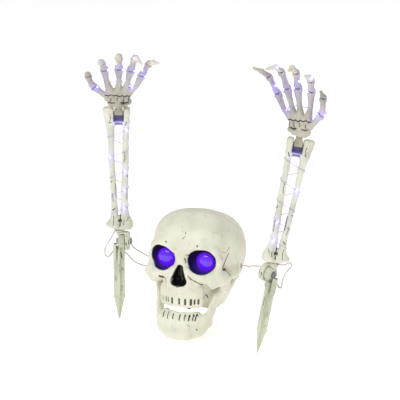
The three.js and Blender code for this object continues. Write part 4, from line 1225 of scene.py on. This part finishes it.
# cracks of a hand: the zigzag over its wrist bones, the gaps between them, one across each joint
def handCracks(v, arm):
    def up(x, r, palm):
        return onHand(v, arm, x, r, palm)

    rise = arm["crackRise"]
    zig = [
        (-19, 0.5), (-14.5, -0.8), (-11, 1.4), (-6.5, -0.6), (-3, 1.2), (1, -1.2), (5, 0.8), (9, -0.6),
        (13, 1.4), (17, 0.2),
    ]
    lines = [(0.9, [up(x, rise + 0.6 + r, 5.4) for x, r in zig])]
    lines.append((0.7, [up(x, rise - 11 + r, 6.2) for x, r in ((-15, 1), (-10, -0.4), (-5, 0.6))]))
    lines.append((1.0, [up(x, rise - 10 + r, 6.2) for x, r in ((4, 0.3), (8, -0.8), (12, 0.8))]))
    for x, low, high in ((-11, -9, -4), (-2, -7, -2.5), (6.6, -12, -7), (7, -7, -2), (14, -9, 0)):
        lines.append((0.6, [up(x, rise + low, 6), up(x + 0.8, rise + high, 6)]))
    for finger in v["fingers"]:
        for i in range(2, len(finger) - 1, 2):
            x, r, palm, size = finger[i]
            step = np.array(finger[i][:2]) - np.array(finger[i - 1][:2])
            step = step / np.linalg.norm(step)
            across = np.array([step[1], -step[0]])
            line = []
            for t, bend in ((-0.8, 0.3), (-0.3, -0.5), (0.3, 0.4), (0.8, -0.2)):
                spot = np.array([x, r]) + across * t * size + step * bend
                line.append(up(spot[0], spot[1], palm + size * math.sqrt(max(0.1, 1 - t * t)) * 0.97))
            lines.append((0.55 + 0.15 * (i == 2), line))
    return lines


# painted light from the drops and the wire; paler towards the top and front of the finger tips
def handNotes(points, path, beads):
    return {
        "painted_light": paintedLightFrom(points, path[beads], 3.4, 0.75) + 0.2 * np.exp(-toLine(points, path[::2]) / 1.8),
        "pale": smoothstep(86, 96, points[:, 2]) * smoothstep(-9, -14, points[:, 1]),
    }


# the light string's way: up one side of each finger and down the other, with a drop at tip and root
def handWire(v, arm):
    points = [onHand(v, arm, 2, 1, -9.5), onHand(v, arm, -8, 6, -9), onHand(v, arm, -14, 13, -7)]
    marks = []
    for k, finger in enumerate(v["fingers"]):
        table = np.array(finger, float)
        last = len(table) - 2
        for i in range(1, last + 1):
            x, r, palm, size = table[i]
            points.append(onHand(v, arm, x - size * 0.93 - 0.7, r, palm + size * 0.35))
        x, r, palm, size = table[last]
        points.append(onHand(v, arm, x, r + 3, palm - size - 1.2))
        marks.append(points[-2 if k % 2 else -4])
        for i in range(last, 0, -1):
            x, r, palm, size = table[i]
            points.append(onHand(v, arm, x + size * 0.93 + 0.7, r, palm + size * 0.35))
        marks.append(points[-2])
    return smoothPath(points, 2.2), marks


for side in ("left", "right"):
    v, arm = handSizes, armSizes[side]
    wrist = joints[side + "_wrist_bend"]
    turn = joints[side + "_hand_turn"]
    swivel = Matrix.Rotation(math.radians(arm["swivel"]), 4, "Z")
    flip = Matrix.Diagonal((arm["flip"], 1, 1, 1))
    place = frameOf(turn["pos_m"], wrist["axis"], turn["axis"]) @ swivel @ flip
    clay = makeHand(v, arm)
    path, marks = handWire(v, arm)
    beads = nearest(path, marks + [onHand(v, arm, 14, arm["crackRise"] + 1, 6.5)])
    clayPiece(side + "Hand", clay, place, handBone, handCracks(v, arm), lambda p: handNotes(p, path, beads),
              side + "_hand", side + "_hand")
    string = alongLine(side + "HandString", toPlace(path, place), stringNodes, stringSizes, beads)
    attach(string, side + "_hand")
    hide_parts(side + "_hand_lights")
print("hands done")

# leads, mm: way points are offsets from that side's elbow, from the skull outwards
leadRoutes = {
    "step": 3,
    "rise": 15.4,
    "coil": 5.6,
    "coilTurns": 1.2,
    "coilEnd": (-5.33, 1.73),
    "exits": dict(zip(("left_feed", "left_return", "right"), skullSizes["leadHoles"])),
    "left_feed": [
        (66, 36, -36), (41, 23, -30), (30, 18, -22), (19, 16, -14), (14, 15.5, -3), (9, 11.5, 9),
        (4, 6.8, 14),
    ],
    "left_return": [
        (66, 38, -42), (39, 24, -44.5), (22, 14, -36), (8, 12, -21), (0, 12, -17.5), (-8.5, 11, -17.5),
        (-16, 8, -26), (-20.5, 5, -22.5), (-21, 2, -12), (-14, -3, 2), (-9.5, -5, 11), (-6.8, -3, 15.6),
    ],
    "right": [
        (-29.5, 130, -30), (-29, 97, -18), (-19, 57, -6), (-7.5, 28, 0), (3.5, 24, -16), (12, 15, -25),
        (15.5, 9, -9), (21, 5, 3), (27, 3, 11), (24.6, 1, 16.4), (17.6, -2, 14.4), (12, -4.6, 15.2),
        (9.4, -5.4, 15.4),
    ],
}


# a lead's line: out of its hole, past its way points, to its end at the elbow's coil
def leadLine(v, route, side, end):
    x, y, z = v["exits"][route]
    across, back = skullSizes["leadWay"]
    out = Vector((math.copysign(across, x), back, 0))
    spots = [np.array(skullFrame @ ((Vector((x, y, z)) + out * reach) / 1000)) * 1000 for reach in (-5, 0, 6)]
    elbow = np.array(hubs[side].translation) * 1000
    return smoothPath([*spots, *(elbow + np.array(spot) for spot in v[route]), end], v["step"]) / 1000


# a point near the neck of an elbow link, mm
def hubPoint(side, x, y, z):
    flip = armSizes[side]["flip"]
    return np.array(hubs[side] @ (Vector((x * flip, y, z)) / 1000)) * 1000


v = leadRoutes
low, top = v["rise"] - 0.5, v["rise"] + 2
runs = [
    ("left_feed_lead", "left", leadLine(v, "left_feed", "left", hubPoint("left", 0, v["coil"], low))),
    ("left_return_lead", "left", leadLine(v, "left_return", "left", hubPoint("left", *v["coilEnd"], top))),
    ("right_lead", "right", leadLine(v, "right", "right", hubPoint("right", *v["coilEnd"], top))),
]
for node, side, path in runs:
    lead = alongLine(node.replace("_", ".") + ".tube", path, leadNodes, leadSizes)
    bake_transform(lead)
    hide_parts(node)

for side in ("left", "right"):
    path = []
    for t in np.linspace(0, 1, 49):
        a = math.pi / 2 + t * v["coilTurns"] * 2 * math.pi
        spot = (v["coil"] * math.cos(a), v["coil"] * math.sin(a), low + t * (top - low))
        path.append(hubPoint(side, *spot) / 1000)
    winding = alongLine(side + "Winding", np.array(path), leadNodes, leadSizes)
    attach(winding, side + "_link")
    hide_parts(side + "_lead_winding")
print("leads done")

# small hard pieces: finish, light and dark tone, roughness, metal, grain, bump, rounding of corners in metres
cadLooks = {
    "steel": ("zinc steel", (176, 178, 182), (120, 122, 126), 0.34, 0.9, 90),
    "black_plastic": ("black plastic", (34, 34, 34), (16, 16, 17), 0.45, 0, 80),
    "board": ("timer board", (42, 96, 52), (22, 60, 34), 0.4, 0, 120),
    "cell": ("cell sleeve", (58, 98, 62), (36, 66, 42), 0.3, 0.2, 70),
    "lamp": ("lamp", (180, 165, 255), (120, 90, 250), 0.15, 0, 90),
    "stake_plastic": ("stake plastic", (222, 223, 202), (184, 188, 166), 0.5, 0, 40, 0.35, 0.0007),
    "forearm_plastic": ("link plastic", (226, 226, 206), (196, 196, 174), 0.5, 0, 50, 0.3, 0.0006),
    "hand_plastic": ("wrist plastic", (188, 182, 164), (150, 144, 126), 0.52, 0, 50, 0.3, 0.0005),
    "bone_plastic": ("door plastic", (228, 226, 206), (206, 203, 180), 0.48, 0, 50, 0.3, 0.0005),
}
cadFinishes = {
    slot: hardFinish(name, rgb(*light), rgb(*dark), *rest)
    for slot, (name, light, dark, *rest) in cadLooks.items()
}
slots = {s["node"]: s["material_slot"] for s in frame["record"]["subparts"]}
for node, thing in frame["nodes"].items():
    if thing.hide_render:
        continue
    thing.data.materials.clear()
    thing.data.materials.append(cadFinishes.get(slots[node], cadFinishes["bone_plastic"]))

print("finishes on the other pieces done")

# floor, light and camera
stageSizes = {"elevation": 16.0, "distance": 4.5, "lens": 289.0, "aim": (0.0185, 0.0, 0.199)}
v = stageSizes
floorMesh = bpy.data.meshes.new("floor")
floorMesh.from_pydata([(-30, -30, 0), (30, -30, 0), (30, 30, 0), (-30, 30, 0)], [], [(0, 1, 2, 3)])
floor = bpy.data.objects.new("floor", floorMesh)
floor.location.z = min(0.0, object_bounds()[0][2]) - 0.0006
bpy.context.scene.collection.objects.link(floor)
n = Nodes("pale floor")
n.put("Base Color", n.mottle(3, 3, 0.3, 0.7, (0.82, 0.82, 0.82), (0.8, 0.8, 0.8)))
n.put("Roughness", 0.9)
n.put("Emission Color", (1, 1, 1))
n.put("Emission Strength", 0.5)
floorMesh.materials.append(n.material)

world = bpy.data.worlds.new("studio")
world.use_nodes = True
world.node_tree.nodes["Background"].inputs["Color"].default_value = (1, 1, 1, 1)
world.node_tree.nodes["Background"].inputs["Strength"].default_value = 0.5
bpy.context.scene.world = world


def softbox(name, at, aim, size, power):
    lamp = bpy.data.lights.new(name, "AREA")
    lamp.shape = "RECTANGLE"
    lamp.size, lamp.size_y = size
    lamp.energy = power
    thing = bpy.data.objects.new(name, lamp)
    thing.location = at
    thing.rotation_euler = (Vector(aim) - Vector(at)).to_track_quat("-Z", "Y").to_euler()
    bpy.context.scene.collection.objects.link(thing)


softbox("key", (-0.9, -1.2, 1.5), (0, 0, 0.15), (0.9, 0.9), 16)
softbox("fill", (1.4, -0.9, 0.9), (0, 0, 0.2), (1.0, 1.2), 4)
softbox("back", (0.4, 1.5, 1.6), (0, 0, 0.2), (1.2, 0.8), 5)

camera = bpy.data.cameras.new("camera")
camera.lens = v["lens"]
camera.sensor_width = 36
camera.clip_end = 100
eye = bpy.data.objects.new("camera", camera)
tilt = math.radians(v["elevation"])
aim = Vector(v["aim"])
eye.location = aim + Vector((0, -math.cos(tilt), math.sin(tilt))) * v["distance"]
eye.rotation_euler = (aim - eye.location).to_track_quat("-Z", "Y").to_euler()
bpy.context.scene.collection.objects.link(eye)
bpy.context.scene.camera = eye
view = bpy.context.scene.view_settings
view.view_transform = "Standard"
view.look = "None"
print("floor, light and camera done")

low, high = firstBounds
